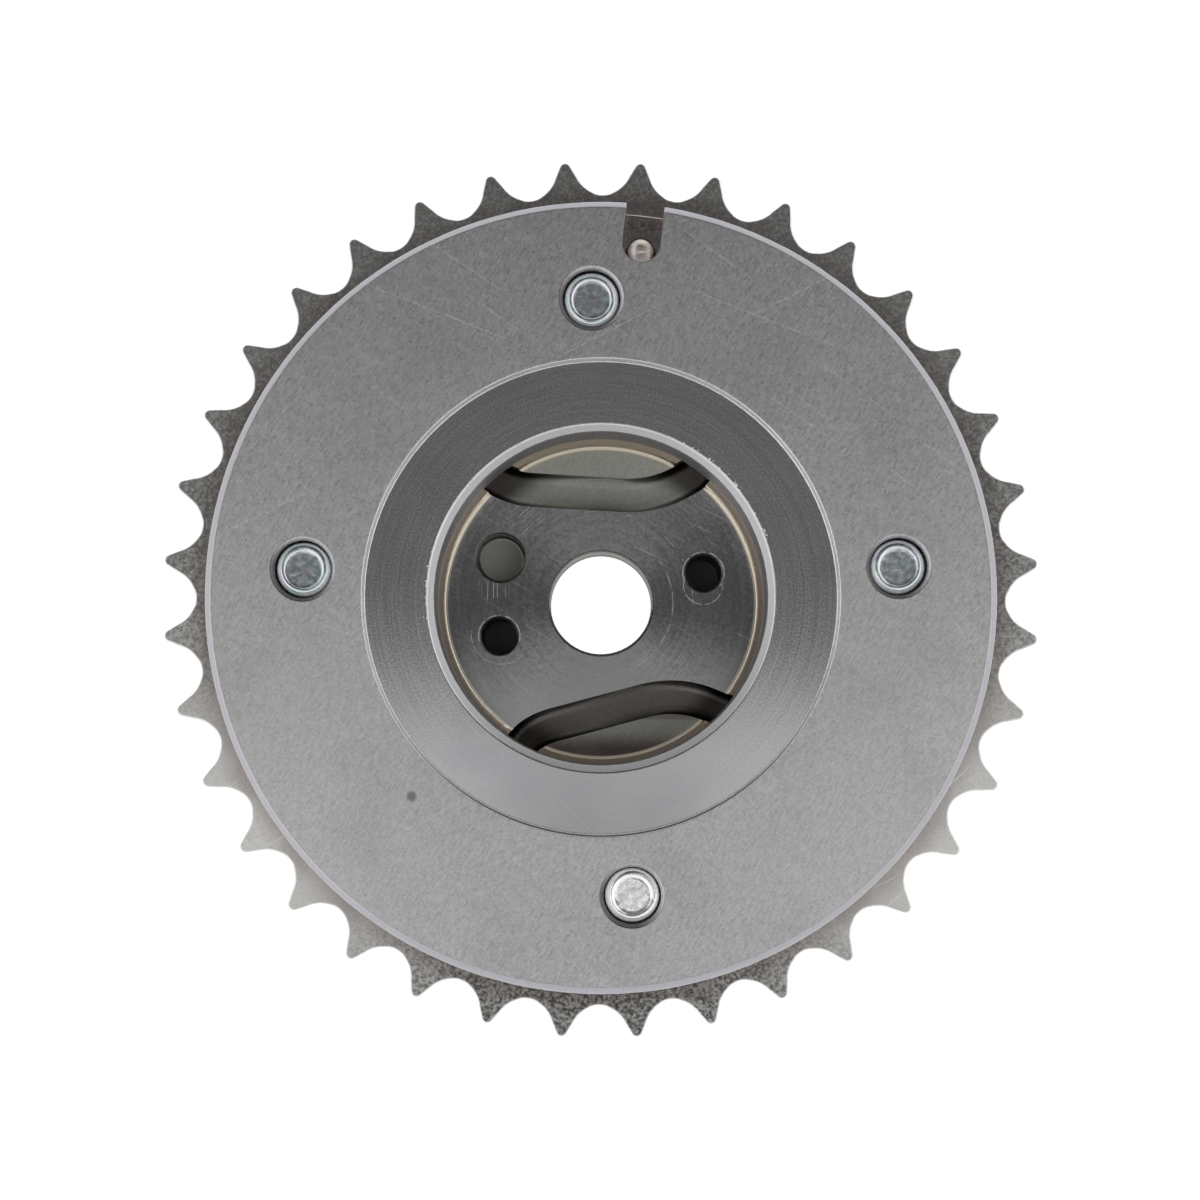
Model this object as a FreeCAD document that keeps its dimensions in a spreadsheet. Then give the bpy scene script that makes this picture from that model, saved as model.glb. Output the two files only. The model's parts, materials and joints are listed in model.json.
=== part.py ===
"""Cam phaser with a roller-chain sprocket, built around the camshaft axis.

The axis of rotation is +Z. The camshaft side is up, the bolt heads stand on
z = 0, and x runs to the right of the camshaft side. All lengths are in
millimetres and all angles in degrees, anticlockwise from +X.
"""
import FreeCAD, Part
import math
import os
import re

import Sketcher

SIZES = {
    # Chain teeth
    "tooth_count": 36,
    "chain_pitch": 8.0,
    "roller_radius": 2.5,
    "tooth_waist": 1.354,
    "tooth_height": 3.54,
    "tooth_tip_round": 0.5,
    "tooth_phase": 4.75,
    "tooth_width": 5.5,
    # Heights of the stacked plates
    "bolt_head_height": 5.0,
    "front_plate_thickness": 4.0,
    "chamber_height": 14.0,
    "spigot_depth": 3.5,
    "plate_flange_height": 4.5,
    # Housing
    "rim_wall": 1.6,
    "flange_step": 0.6,
    "spigot_clearance": 0.05,
    "shell_setback": 1.2,
    "shell_wall": 4.6,
    "edge_break": 0.4,
    "shoe_half_angle": 14.5,
    # Rear plate
    "camshaft_bore_radius": 17.65,
    "rim_chamfer": 0.8,
    "rim_chamfer_height": 0.4,
    "seat_wall": 3.0,
    "seat_depth": 0.8,
    "seat_step_slope": 0.2,
    "plate_bevel": 0.65,
    # Fasteners, at the angles where they stand
    "bolt_angle_1": 6.0,
    "bolt_angle_2": 91.8,
    "bolt_angle_3": 174.5,
    "bolt_angle_4": 276.0,
    "bolt_inset": 4.45,
    "bolt_radius": 3.0,
    "thread_clearance": 0.05,
    "bolt_clearance": 0.3,
    "bolt_hole_chamfer": 0.3,
    "bolt_end_recess": 0.9,
    "bolt_tip_length": 0.45,
    "bolt_tip_ring": 2.7,
    "bolt_tip_flat": 2.05,
    "bolt_flange_radius": 6.25,
    "bolt_flange_height": 1.8,
    "bolt_cone_radius": 4.6,
    "bolt_hex_width": 8.0,
    # Locating pin in the open notch
    "notch_angle": 83.5,
    "notch_width": 4.0,
    "pin_radius": 1.5,
    "pin_length": 9.0,
    "pin_hole_depth": 5.0,
    "pin_tip_chamfer": 0.4,
    "pin_hole_chamfer": 0.35,
    "press_clearance": 0.01,
    # Rotor
    "shoe_wall": 1.845,
    "running_clearance": 0.1,
    "side_clearance": 0.05,
    "rest_gap_angle": 0.5,
    "vane_angle_1": 28.5,
    "vane_angle_2": 19.0,
    "vane_angle_3": 47.5,
    "vane_angle_4": 23.5,
    "spigot_recess_radius": 17.1,
    "spigot_recess_depth": 2.5,
    "centre_hole_radius": 5.6,
    "centre_hole_chamfer": 0.3,
    "bolt_seat_radius": 8.8,
    "centre_land_height": 6.5,
    "boss_radius": 15.0,
    "boss_setback": 0.3,
    "port_radius": 2.0,
    "port_depth": 9.0,
    "port_chamfer": 0.22,
    "port_1_x": 11.25,
    "port_1_y": 3.31,
    "port_2_x": -11.16,
    "port_2_y": -3.62,
    "dowel_radius": 2.6,
    "dowel_depth": 4.0,
    "dowel_x": -11.0,
    "dowel_y": 4.99,
    # Oil grooves in the rotor's face
    "groove_width": 3.7,
    "groove_depth": 2.5,
    "groove_hidden_bend": 3.0,
    "upper_exit_1_angle": 136.0,
    "upper_bend_1_x": -9.35,
    "upper_bend_1_y": 12.53,
    "upper_bend_1_radius": 8.0,
    "upper_bend_2_x": 5.9,
    "upper_bend_2_y": 11.6,
    "upper_bend_2_radius": 12.0,
    "upper_bend_3_x": 10.6,
    "upper_bend_3_y": 14.3,
    "upper_exit_2_angle": 56.5,
    "lower_exit_1_angle": 243.5,
    "lower_bend_1_x": -8.4,
    "lower_bend_1_y": -14.9,
    "lower_bend_2_x": -6.26,
    "lower_bend_2_y": -13.63,
    "lower_bend_2_radius": 8.0,
    "lower_bend_3_x": 8.46,
    "lower_bend_3_y": -9.72,
    "lower_bend_3_radius": 11.0,
    "lower_exit_2_angle": 323.5,
    # Seals and the leaf springs behind them
    "seal_width": 2.0,
    "seal_slot_depth": 4.4,
    "seal_depth": 3.4,
    "seal_slot_clearance": 0.05,
    "seal_tip_clearance": 0.05,
    "seal_end_clearance": 0.15,
    "leaf_thickness": 0.25,
    "leaf_width": 1.4,
    "leaf_length": 11.0,
    "leaf_clearance": 0.03,
    # Lock pin with its spring, seat and bush
    "lock_slot_wall": 1.15,
    "lock_skirt_radius": 3.9,
    "lock_nose_radius": 3.0,
    "lock_running_clearance": 0.05,
    "lock_nose_length": 4.4,
    "lock_skirt_length": 4.2,
    "lock_wall": 1.3,
    "lock_crown": 2.2,
    "lock_setback": 0.3,
    "lock_nose_chamfer": 0.4,
    "spring_wire_radius": 0.35,
    "spring_clearance": 0.2,
    "spring_turns": 6,
    "spring_end_gap": 0.03,
    "spring_seat_height": 1.5,
    "spring_seat_vent": 1.0,
    "bush_wall": 1.4,
    "bush_length": 4.0,
}

SEAT_COUNT = 4
SPRING_WIRE_SIDES = 6
WORD = re.compile(r"[a-z][a-z0-9_]*")

doc = FreeCAD.newDocument("cam_phaser")
sheet = doc.addObject("Spreadsheet::Sheet", "Sizes")
for row, (size_name, size) in enumerate(SIZES.items(), start=1):
    sheet.set(f"A{row}", size_name)
    sheet.set(f"B{row}", str(size))
    sheet.setAlias(f"B{row}", size_name)
doc.recompute()


# Expressions over the sheet

def tied(expression):
    """Return an expression with each named size pointing at its cell."""
    def point_at_cell(match):
        word = match.group()
        return f"Sizes.{word}" if word in SIZES else word
    return WORD.sub(point_at_cell, expression)


def value(expression):
    """Return what an expression over the sheet comes to."""
    result = sheet.evalExpression(tied(expression))
    return float(getattr(result, "Value", result))


def tie(item, prop, expression):
    """Bind one property of an object to an expression over the sheet."""
    item.setExpression(prop, tied(expression))


def polar(radius, angle):
    """Return the x and y expressions of a point at a radius and an angle."""
    return f"({radius}) * cos({angle})", f"({radius}) * sin({angle})"


def turned(x, y, angle):
    """Return the x and y expressions of a point turned about the axis."""
    return (f"({x}) * cos({angle}) - ({y}) * sin({angle})",
            f"({x}) * sin({angle}) + ({y}) * cos({angle})")


# Sizes that follow from the sheet

root_radius = "(chain_pitch / (2 * sin(180 / tooth_count)) - roller_radius)"
half_pitch = "(180 / tooth_count)"
tooth_seat_radius = (f"(({root_radius} * sin{half_pitch} - tooth_waist / 2)"
                     f" / (1 - sin{half_pitch}))")
tooth_seat_centre = f"({root_radius} + {tooth_seat_radius})"
tooth_tip_centre = f"({root_radius} + tooth_height - tooth_tip_round)"
tooth_base = f"({root_radius} - rim_wall / 2)"
plate_radius = f"({root_radius} - rim_wall)"
spigot_radius = f"({plate_radius} - flange_step)"
recess_radius = f"({spigot_radius} + spigot_clearance)"
shell_radius = f"({plate_radius} - shell_setback)"
chamber_radius = f"({shell_radius} - shell_wall)"
bolt_circle = f"({chamber_radius} - bolt_inset)"
thread_hole = "(bolt_radius + thread_clearance)"
bolt_hole = "(bolt_radius + bolt_clearance)"
seat_outer_radius = f"({bolt_circle} - {thread_hole} - bolt_hole_chamfer - seat_wall)"
hub_radius = f"({bolt_circle} - {bolt_hole} - shoe_wall - seal_slot_depth)"

front_z = "bolt_head_height"
chamber_floor_z = f"({front_z} + front_plate_thickness)"
chamber_top_z = f"({chamber_floor_z} + chamber_height)"
sprocket_face_z = f"({chamber_top_z} + spigot_depth)"
tooth_bottom_z = f"({sprocket_face_z} - tooth_width)"
plate_face_z = f"({sprocket_face_z} + plate_flange_height)"

vane_radius = f"({chamber_radius} - running_clearance)"
shoe_tip_radius = f"({hub_radius} + running_clearance)"
rotor_bottom_z = f"({chamber_floor_z} + side_clearance)"
rotor_top_z = f"({chamber_top_z} - side_clearance)"
boss_bottom_z = f"({front_z} + boss_setback)"
rotor_floor_z = f"({rotor_top_z} - spigot_recess_depth)"
bolt_seat_z = f"({rotor_floor_z} - centre_land_height)"

lock_vane_start = "(bolt_angle_3 + shoe_half_angle + rest_gap_angle)"
lock_angle = f"({lock_vane_start} + vane_angle_3 / 2)"
lock_skirt_bore = "(lock_skirt_radius + lock_running_clearance)"
lock_nose_bore = "(lock_nose_radius + lock_running_clearance)"
lock_radius = f"({chamber_radius} - seal_slot_depth - lock_slot_wall - {lock_skirt_bore})"
lock_x, lock_y = polar(lock_radius, lock_angle)
lock_nose_z = f"({rotor_top_z} - lock_setback)"
lock_shoulder_z = f"({lock_nose_z} - lock_nose_length)"
lock_skirt_z = f"({lock_shoulder_z} - lock_skirt_length)"
lock_step_z = f"({lock_shoulder_z} + lock_setback)"
lock_cavity_radius = "(lock_skirt_radius - lock_wall)"
lock_cavity_z = f"({lock_nose_z} - lock_crown)"
spring_seat_z = f"({rotor_bottom_z} + spring_seat_height)"
bush_radius = f"({lock_nose_bore} + bush_wall)"
seal_half_slot = "(seal_width / 2 + seal_slot_clearance)"


def bolt_angle(number):
    """Return the angle of one housing bolt and of the shoe round it."""
    return f"bolt_angle_{number}"


def vane_start(number):
    """Return the angle where a vane's clockwise flank stands at rest."""
    return f"({bolt_angle(number)} + shoe_half_angle + rest_gap_angle)"


def vane_middle(number):
    """Return the angle of a vane's seal."""
    return f"({vane_start(number)} + vane_angle_{number} / 2)"


# Sketches

def new_sketch(body, name, role, height="0", turn=None):
    """Return an empty sketch on one of a body's origin planes."""
    sketch = body.newObject("Sketcher::SketchObject", name)
    plane = next(f for f in body.Origin.OriginFeatures if f.Role == role)
    sketch.AttachmentSupport = [(plane, "")]
    sketch.MapMode = "FlatFace"
    tie(sketch, "AttachmentOffset.Base.z", height)
    if turn is not None:
        start = FreeCAD.Rotation(FreeCAD.Vector(0, 0, 1), value(turn))
        sketch.AttachmentOffset = FreeCAD.Placement(FreeCAD.Vector(), start)
        tie(sketch, "AttachmentOffset.Rotation.Angle", turn)
    return sketch


def name_constraint(sketch, index, name, expression):
    """Name one constraint and bind it to the sheet."""
    sketch.renameConstraint(index, name)
    sketch.setExpression(f"Constraints.{name}", tied(expression))


def pin_point(sketch, geometry, end, name, x, y):
    """Hold one point of a sketch at an x and a y from the sketch's origin."""
    for direction, place in (("DistanceX", x), ("DistanceY", y)):
        rule = Sketcher.Constraint(direction, -1, 1, geometry, end, value(place))
        index = sketch.addConstraint(rule)
        name_constraint(sketch, index, f"{name}_{direction[-1].lower()}", place)


def add_circle(sketch, x, y, radius):
    """Draw one circle."""
    centre = FreeCAD.Vector(value(x), value(y), 0)
    circle = Part.Circle(centre, FreeCAD.Vector(0, 0, 1), value(radius))
    geometry = sketch.addGeometry(circle, False)
    pin_point(sketch, geometry, 3, f"centre_{geometry}", x, y)
    rule = Sketcher.Constraint("Radius", geometry, value(radius))
    index = sketch.addConstraint(rule)
    name_constraint(sketch, index, f"radius_{geometry}", radius)


def arc_between(start, end, centre, radius, turn):
    """Return an arc from start to end, anticlockwise where turn is 1."""
    circle = Part.Circle(centre, FreeCAD.Vector(0, 0, 1), radius)
    first, last = (start, end) if turn > 0 else (end, start)
    low = math.atan2(first.y - centre.y, first.x - centre.x)
    high = math.atan2(last.y - centre.y, last.x - centre.x)
    if high <= low:
        high += 2 * math.pi
    return Part.ArcOfCircle(circle, low, high)


def add_outline(sketch, corners):
    """Draw one closed outline.

    A corner is (x, y), or (x, y, (radius, centre x, centre y, turn)) where
    the edge that leaves it is an arc, anticlockwise if turn is 1.
    """
    points = [FreeCAD.Vector(value(c[0]), value(c[1]), 0) for c in corners]
    edges = []
    for number, corner in enumerate(corners):
        start = points[number]
        end = points[(number + 1) % len(corners)]
        if len(corner) == 2:
            shape = Part.LineSegment(start, end)
            edges.append((sketch.addGeometry(shape, False), 1, 2, None))
            continue
        radius, centre_x, centre_y, turn = corner[2]
        centre = FreeCAD.Vector(value(centre_x), value(centre_y), 0)
        shape = arc_between(start, end, centre, value(radius), turn)
        leaves, arrives = (1, 2) if turn > 0 else (2, 1)
        edges.append((sketch.addGeometry(shape, False), leaves, arrives, radius))
    for number, (geometry, leaves, arrives, radius) in enumerate(edges):
        following = edges[(number + 1) % len(edges)]
        rule = Sketcher.Constraint("Coincident", geometry, arrives, following[0], following[1])
        sketch.addConstraint(rule)
        x, y = corners[number][:2]
        pin_point(sketch, geometry, leaves, f"corner_{geometry}", x, y)
        if radius is not None:
            rule = Sketcher.Constraint("Radius", geometry, value(radius))
            index = sketch.addConstraint(rule)
            name_constraint(sketch, index, f"radius_{geometry}", radius)


def round_axis(radius, turn):
    """Return the arc entry of an edge that runs round the main axis."""
    return (radius, "0", "0", turn)


# Features

def new_body(name, label=None):
    """Return an empty body."""
    body = doc.addObject("PartDesign::Body", name)
    body.Label = label or name
    return body


def pad(body, sketch, name, length, midplane=False):
    """Raise a sketch into a solid."""
    feature = body.newObject("PartDesign::Pad", name)
    feature.Profile = sketch
    tie(feature, "Length", length)
    feature.Midplane = midplane
    return feature


def pocket(body, sketch, name, length=None, upwards=False):
    """Cut a sketch out of a solid, right through where no length is given."""
    feature = body.newObject("PartDesign::Pocket", name)
    feature.Profile = sketch
    feature.Reversed = upwards
    if length is None:
        feature.Type = "ThroughAll"
    else:
        tie(feature, "Length", length)
    return feature


def revolve(body, name, profile):
    """Turn a closed outline of (radius, height) corners about the axis."""
    sketch = new_sketch(body, f"{name}_profile", "XZ_Plane")
    add_outline(sketch, profile)
    feature = body.newObject("PartDesign::Revolution", name)
    feature.Profile = sketch
    feature.ReferenceAxis = (sketch, ["V_Axis"])
    feature.Angle = 360
    return feature


def round_edges(feature, radius, height):
    """Return the names of a feature's circles with a radius at a height."""
    found = []
    for number, edge in enumerate(feature.Shape.Edges, start=1):
        is_circle = isinstance(edge.Curve, Part.Circle)
        if is_circle and abs(edge.Curve.Radius - value(radius)) < 1e-4:
            if abs(edge.Curve.Center.z - value(height)) < 1e-4:
                found.append(f"Edge{number}")
    return found


def chamfer(body, name, base, radius, height, size):
    """Chamfer a feature's circles that have a radius and a height."""
    doc.recompute()
    feature = body.newObject("PartDesign::Chamfer", name)
    feature.Base = (base, round_edges(base, radius, height))
    tie(feature, "Size", size)
    return feature


def add_bolt_circles(sketch, radius):
    """Draw a circle round each housing bolt."""
    for number in range(1, SEAT_COUNT + 1):
        x, y = polar(bolt_circle, bolt_angle(number))
        add_circle(sketch, x, y, radius)


# Housing pieces

def rear_plate():
    """Build the stepped plate with the camshaft bore, notch and threads."""
    body = new_body("rear_plate")
    seat_z = f"({plate_face_z} - seat_depth)"
    revolve(body, "plate_disc", [
        ("camshaft_bore_radius", chamber_top_z),
        (f"{spigot_radius} - edge_break", chamber_top_z),
        (spigot_radius, f"{chamber_top_z} + edge_break"),
        (spigot_radius, sprocket_face_z),
        (plate_radius, sprocket_face_z),
        (plate_radius, f"{plate_face_z} - plate_bevel"),
        (f"{plate_radius} - plate_bevel", plate_face_z),
        (seat_outer_radius, plate_face_z),
        (f"{seat_outer_radius} - seat_step_slope", seat_z),
        ("camshaft_bore_radius + rim_chamfer", seat_z),
        ("camshaft_bore_radius", f"{seat_z} - rim_chamfer_height"),
    ])
    notch = new_sketch(body, "notch_outline", "XY_Plane", plate_face_z, "notch_angle")
    outside = f"{plate_radius} + notch_width"
    half = "notch_width / 2"
    centre = notch_centre()
    add_outline(notch, [
        (centre, half, (half, centre, "0", 1)),
        (f"{centre} - {half}", "0", (half, centre, "0", 1)),
        (centre, f"-({half})"),
        (outside, f"-({half})"),
        (outside, half),
    ])
    pocket(body, notch, "pin_notch")
    threads = new_sketch(body, "thread_circles", "XY_Plane", plate_face_z)
    add_bolt_circles(threads, thread_hole)
    holes = pocket(body, threads, "threaded_holes")
    chamfer(body, "thread_chamfers", holes, thread_hole, plate_face_z, "bolt_hole_chamfer")
    bush = new_sketch(body, "bush_circle", "XY_Plane", chamber_top_z)
    add_circle(bush, lock_x, lock_y, f"{bush_radius} + press_clearance")
    pocket(body, bush, "bush_seat", "bush_length", upwards=True)
    return body


def notch_centre():
    """Return the radius of the notch's round end, where the pin stands."""
    return f"({spigot_radius} - notch_width + edge_break)"


def sprocket_teeth(body):
    """Add the chain teeth: one tooth on the x axis, turned round the rim.

    The tip's arc and the two chain seats are held by their centres, and the
    flanks are the straight lines that touch both.
    """
    sketch = new_sketch(body, "tooth_outline", "XY_Plane", tooth_bottom_z, "tooth_phase")
    up = FreeCAD.Vector(0, 0, 1)
    tip = FreeCAD.Vector(value(tooth_tip_centre), 0, 0)
    tip_radius = value("tooth_tip_round")
    seat_radius = value(tooth_seat_radius)
    seat_x, seat_y = polar(tooth_seat_centre, half_pitch)
    valley_x, valley_y = polar(root_radius, half_pitch)
    base_x, base_y = polar(tooth_base, half_pitch)
    seat = FreeCAD.Vector(value(seat_x), value(seat_y), 0)
    valley = FreeCAD.Vector(value(valley_x), value(valley_y), 0)
    base = FreeCAD.Vector(value(base_x), value(base_y), 0)
    between = seat - tip
    lean = math.acos((tip_radius + seat_radius) / between.Length)
    flank = math.atan2(between.y, between.x) - lean
    normal = FreeCAD.Vector(math.cos(flank), math.sin(flank), 0)
    tip_end = tip + normal * tip_radius
    seat_end = seat - normal * seat_radius

    def across(point):
        return FreeCAD.Vector(point.x, -point.y, 0)

    tip_arc = sketch.addGeometry(
        Part.ArcOfCircle(Part.Circle(tip, up, tip_radius), -flank, flank), False)
    sides = []
    for side in (1, -1):
        place = (lambda point: point) if side > 0 else across
        line = Part.LineSegment(place(tip_end), place(seat_end))
        arc = arc_between(place(seat_end), place(valley), place(seat), seat_radius, -side)
        drop = Part.LineSegment(place(valley), place(base))
        sides.append([sketch.addGeometry(shape, False) for shape in (line, arc, drop)])
    foot = sketch.addGeometry(Part.LineSegment(base, across(base)), False)

    pin_point(sketch, tip_arc, 3, "tip_centre", tooth_tip_centre, "0")
    index = sketch.addConstraint(Sketcher.Constraint("Radius", tip_arc, tip_radius))
    name_constraint(sketch, index, "tip_round", "tooth_tip_round")
    for side, (line, arc, drop) in zip((1, -1), sides):
        word = "left" if side > 0 else "right"
        sign = "" if side > 0 else "-1 * "
        tip_point, foot_point = (2, 1) if side > 0 else (1, 2)
        near, far = (2, 1) if side > 0 else (1, 2)
        for rule in (
            Sketcher.Constraint("Tangent", tip_arc, tip_point, line, 1),
            Sketcher.Constraint("Tangent", line, 2, arc, near),
            Sketcher.Constraint("Coincident", arc, far, drop, 1),
            Sketcher.Constraint("Coincident", drop, 2, foot, foot_point),
        ):
            sketch.addConstraint(rule)
        pin_point(sketch, arc, 3, f"seat_{word}", seat_x, sign + seat_y)
        pin_point(sketch, drop, 2, f"base_{word}", base_x, sign + base_y)
        index = sketch.addConstraint(Sketcher.Constraint("Radius", arc, seat_radius))
        name_constraint(sketch, index, f"seat_round_{word}", tooth_seat_radius)
        rule = Sketcher.Constraint("DistanceX", -1, 1, drop, 1, valley.x)
        index = sketch.addConstraint(rule)
        name_constraint(sketch, index, f"valley_{word}", valley_x)
    tooth = pad(body, sketch, "tooth", "tooth_width")
    doc.recompute()
    pattern = body.newObject("PartDesign::PolarPattern", "tooth_ring")
    pattern.Originals = [tooth]
    pattern.Axis = (sketch, ["N_Axis"])
    pattern.Angle = 360
    tie(pattern, "Occurrences", "tooth_count")
    body.Tip = pattern
    return pattern


def shoe_corners(number):
    """Return the outline of one shoe, with the seal slot in its tip."""
    middle = bolt_angle(number)
    low = f"({middle} - shoe_half_angle)"
    high = f"({middle} + shoe_half_angle)"
    inside_wall = f"({chamber_radius} + shell_wall / 2)"
    slot_mouth = f"sqrt({shoe_tip_radius} ^ 2 - {seal_half_slot} ^ 2)"
    slot_floor = f"({hub_radius} + seal_slot_depth)"
    return [
        polar(shoe_tip_radius, low),
        polar(inside_wall, low) + (round_axis(inside_wall, 1),),
        polar(inside_wall, high),
        polar(shoe_tip_radius, high) + (round_axis(shoe_tip_radius, -1),),
        turned(slot_mouth, seal_half_slot, middle),
        turned(slot_floor, seal_half_slot, middle),
        turned(slot_floor, f"-{seal_half_slot}", middle),
        turned(slot_mouth, f"-{seal_half_slot}", middle) + (round_axis(shoe_tip_radius, -1),),
    ]


def sprocket_housing():
    """Build the one-piece sprocket and housing with its four shoes."""
    body = new_body("sprocket_housing")
    revolve(body, "shell", [
        (chamber_radius, chamber_floor_z),
        (f"{shell_radius} - edge_break", chamber_floor_z),
        (shell_radius, f"{chamber_floor_z} + edge_break"),
        (shell_radius, tooth_bottom_z),
        (f"{root_radius} - rim_wall / 4", tooth_bottom_z),
        (f"{root_radius} - rim_wall / 4", sprocket_face_z),
        (recess_radius, sprocket_face_z),
        (recess_radius, chamber_top_z),
        (chamber_radius, chamber_top_z),
    ])
    sprocket_teeth(body)
    shoes = new_sketch(body, "shoe_outlines", "XY_Plane", chamber_floor_z)
    for number in range(1, SEAT_COUNT + 1):
        add_outline(shoes, shoe_corners(number))
    pad(body, shoes, "shoes", "chamber_height")
    holes = new_sketch(body, "bolt_circles", "XY_Plane", chamber_top_z)
    add_bolt_circles(holes, bolt_hole)
    pocket(body, holes, "bolt_holes")
    seat = new_sketch(body, "pin_circle", "XY_Plane", chamber_top_z)
    add_circle(seat, *polar(notch_centre(), "notch_angle"), "pin_radius + press_clearance")
    hole = pocket(body, seat, "pin_hole", "pin_hole_depth")
    chamfer(body, "pin_hole_mouth", hole, "pin_radius + press_clearance",
            chamber_top_z, "pin_hole_chamfer")
    return body


def front_plate():
    """Build the flat plate that closes the chambers under the bolt heads."""
    body = new_body("front_plate")
    bore = "(boss_radius + running_clearance)"
    revolve(body, "front_disc", [
        (bore, front_z),
        (f"{shell_radius} - edge_break", front_z),
        (shell_radius, f"{front_z} + edge_break"),
        (shell_radius, chamber_floor_z),
        (bore, chamber_floor_z),
    ])
    holes = new_sketch(body, "front_bolt_circles", "XY_Plane", chamber_floor_z)
    add_bolt_circles(holes, bolt_hole)
    pocket(body, holes, "front_bolt_holes")
    return body


def housing_bolts():
    """Build the four flange bolts that clamp the plates together."""
    end_z = f"({plate_face_z} - bolt_end_recess)"
    flange_z = f"({front_z} - bolt_flange_height)"
    bolts = []
    for number in range(1, SEAT_COUNT + 1):
        body = new_body(f"bolt_{number}")
        revolve(body, f"bolt_shank_{number}", [
            ("0", flange_z),
            ("bolt_cone_radius", flange_z),
            ("bolt_flange_radius", f"{front_z} - bolt_flange_height / 2"),
            ("bolt_flange_radius", front_z),
            ("bolt_radius", front_z),
            ("bolt_radius", f"{end_z} - bolt_tip_length"),
            ("bolt_tip_ring", f"{end_z} - bolt_tip_length / 4"),
            ("bolt_tip_flat", end_z),
            ("0", end_z),
        ])
        head = new_sketch(body, f"hex_{number}", "XY_Plane")
        circumradius = "(bolt_hex_width / 2 / cos(30))"
        add_outline(head, [polar(circumradius, str(60 * side)) for side in range(6)])
        pad(body, head, f"head_{number}", f"{flange_z} + bolt_flange_height / 4")
        x, y = polar(bolt_circle, bolt_angle(number))
        tie(body, "Placement.Base.x", x)
        tie(body, "Placement.Base.y", y)
        bolts.append(body)
    group = doc.addObject("Part::Compound", "housing_bolts")
    group.Links = bolts
    group.Label = "housing_bolts"
    return group


def locating_pin():
    """Build the pin that stands in the rear plate's notch."""
    body = new_body("locating_pin")
    bottom = f"({chamber_top_z} - pin_hole_depth)"
    top = f"({bottom} + pin_length)"
    revolve(body, "pin_turned", [
        ("0", bottom),
        ("pin_radius", bottom),
        ("pin_radius", f"{top} - pin_tip_chamfer"),
        ("pin_radius - pin_tip_chamfer", top),
        ("0", top),
    ])
    x, y = polar(notch_centre(), "notch_angle")
    tie(body, "Placement.Base.x", x)
    tie(body, "Placement.Base.y", y)
    return body


# Rotor pieces

def rotor_corners():
    """Return the rotor's outline: hub arcs, four vanes and their seal slots."""
    slot_mouth = f"sqrt({vane_radius} ^ 2 - {seal_half_slot} ^ 2)"
    slot_floor = f"({chamber_radius} - seal_slot_depth)"
    corners = []
    for number in range(1, SEAT_COUNT + 1):
        low = vane_start(number)
        high = f"({low} + vane_angle_{number})"
        middle = vane_middle(number)
        corners += [
            polar(hub_radius, low),
            polar(vane_radius, low) + (round_axis(vane_radius, 1),),
            turned(slot_mouth, f"-{seal_half_slot}", middle),
            turned(slot_floor, f"-{seal_half_slot}", middle),
            turned(slot_floor, seal_half_slot, middle),
            turned(slot_mouth, seal_half_slot, middle) + (round_axis(vane_radius, 1),),
            polar(vane_radius, high),
            polar(hub_radius, high) + (round_axis(hub_radius, 1),),
        ]
    return corners


def rotor_blank():
    """Build the rotor without the oil grooves."""
    body = new_body("rotor_blank")
    outline = new_sketch(body, "rotor_outline", "XY_Plane", rotor_bottom_z)
    add_outline(outline, rotor_corners())
    pad(body, outline, "hub_and_vanes", f"{rotor_top_z} - {rotor_bottom_z}")
    boss = new_sketch(body, "boss_circle", "XY_Plane", boss_bottom_z)
    add_circle(boss, "0", "0", "boss_radius")
    pad(body, boss, "front_boss", f"{rotor_bottom_z} - {boss_bottom_z}")
    recess = new_sketch(body, "recess_circle", "XY_Plane", rotor_top_z)
    add_circle(recess, "0", "0", "spigot_recess_radius")
    pocket(body, recess, "spigot_recess", "spigot_recess_depth")
    centre = new_sketch(body, "centre_circle", "XY_Plane", rotor_floor_z)
    add_circle(centre, "0", "0", "centre_hole_radius")
    hole = pocket(body, centre, "centre_hole")
    chamfer(body, "centre_hole_mouth", hole, "centre_hole_radius",
            rotor_floor_z, "centre_hole_chamfer")
    seat = new_sketch(body, "bolt_seat_circle", "XY_Plane", boss_bottom_z)
    add_circle(seat, "0", "0", "bolt_seat_radius")
    pocket(body, seat, "bolt_seat", f"{bolt_seat_z} - {boss_bottom_z}", upwards=True)
    ports = new_sketch(body, "port_circles", "XY_Plane", rotor_floor_z)
    add_circle(ports, "port_1_x", "port_1_y", "port_radius")
    add_circle(ports, "port_2_x", "port_2_y", "port_radius")
    drilled = pocket(body, ports, "oil_ports", "port_depth")
    chamfer(body, "port_mouths", drilled, "port_radius", rotor_floor_z, "port_chamfer")
    dowel = new_sketch(body, "dowel_circle", "XY_Plane", rotor_floor_z)
    add_circle(dowel, "dowel_x", "dowel_y", "dowel_radius")
    drilled = pocket(body, dowel, "dowel_hole", "dowel_depth")
    chamfer(body, "dowel_mouth", drilled, "dowel_radius", rotor_floor_z, "port_chamfer")
    skirt = new_sketch(body, "lock_skirt_circle", "XY_Plane", rotor_bottom_z)
    add_circle(skirt, lock_x, lock_y, lock_skirt_bore)
    pocket(body, skirt, "lock_skirt_bore", f"{lock_step_z} - {rotor_bottom_z}", upwards=True)
    nose = new_sketch(body, "lock_nose_circle", "XY_Plane", rotor_top_z)
    add_circle(nose, lock_x, lock_y, lock_nose_bore)
    pocket(body, nose, "lock_nose_bore", f"{rotor_top_z} - {lock_step_z}")
    return body


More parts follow.
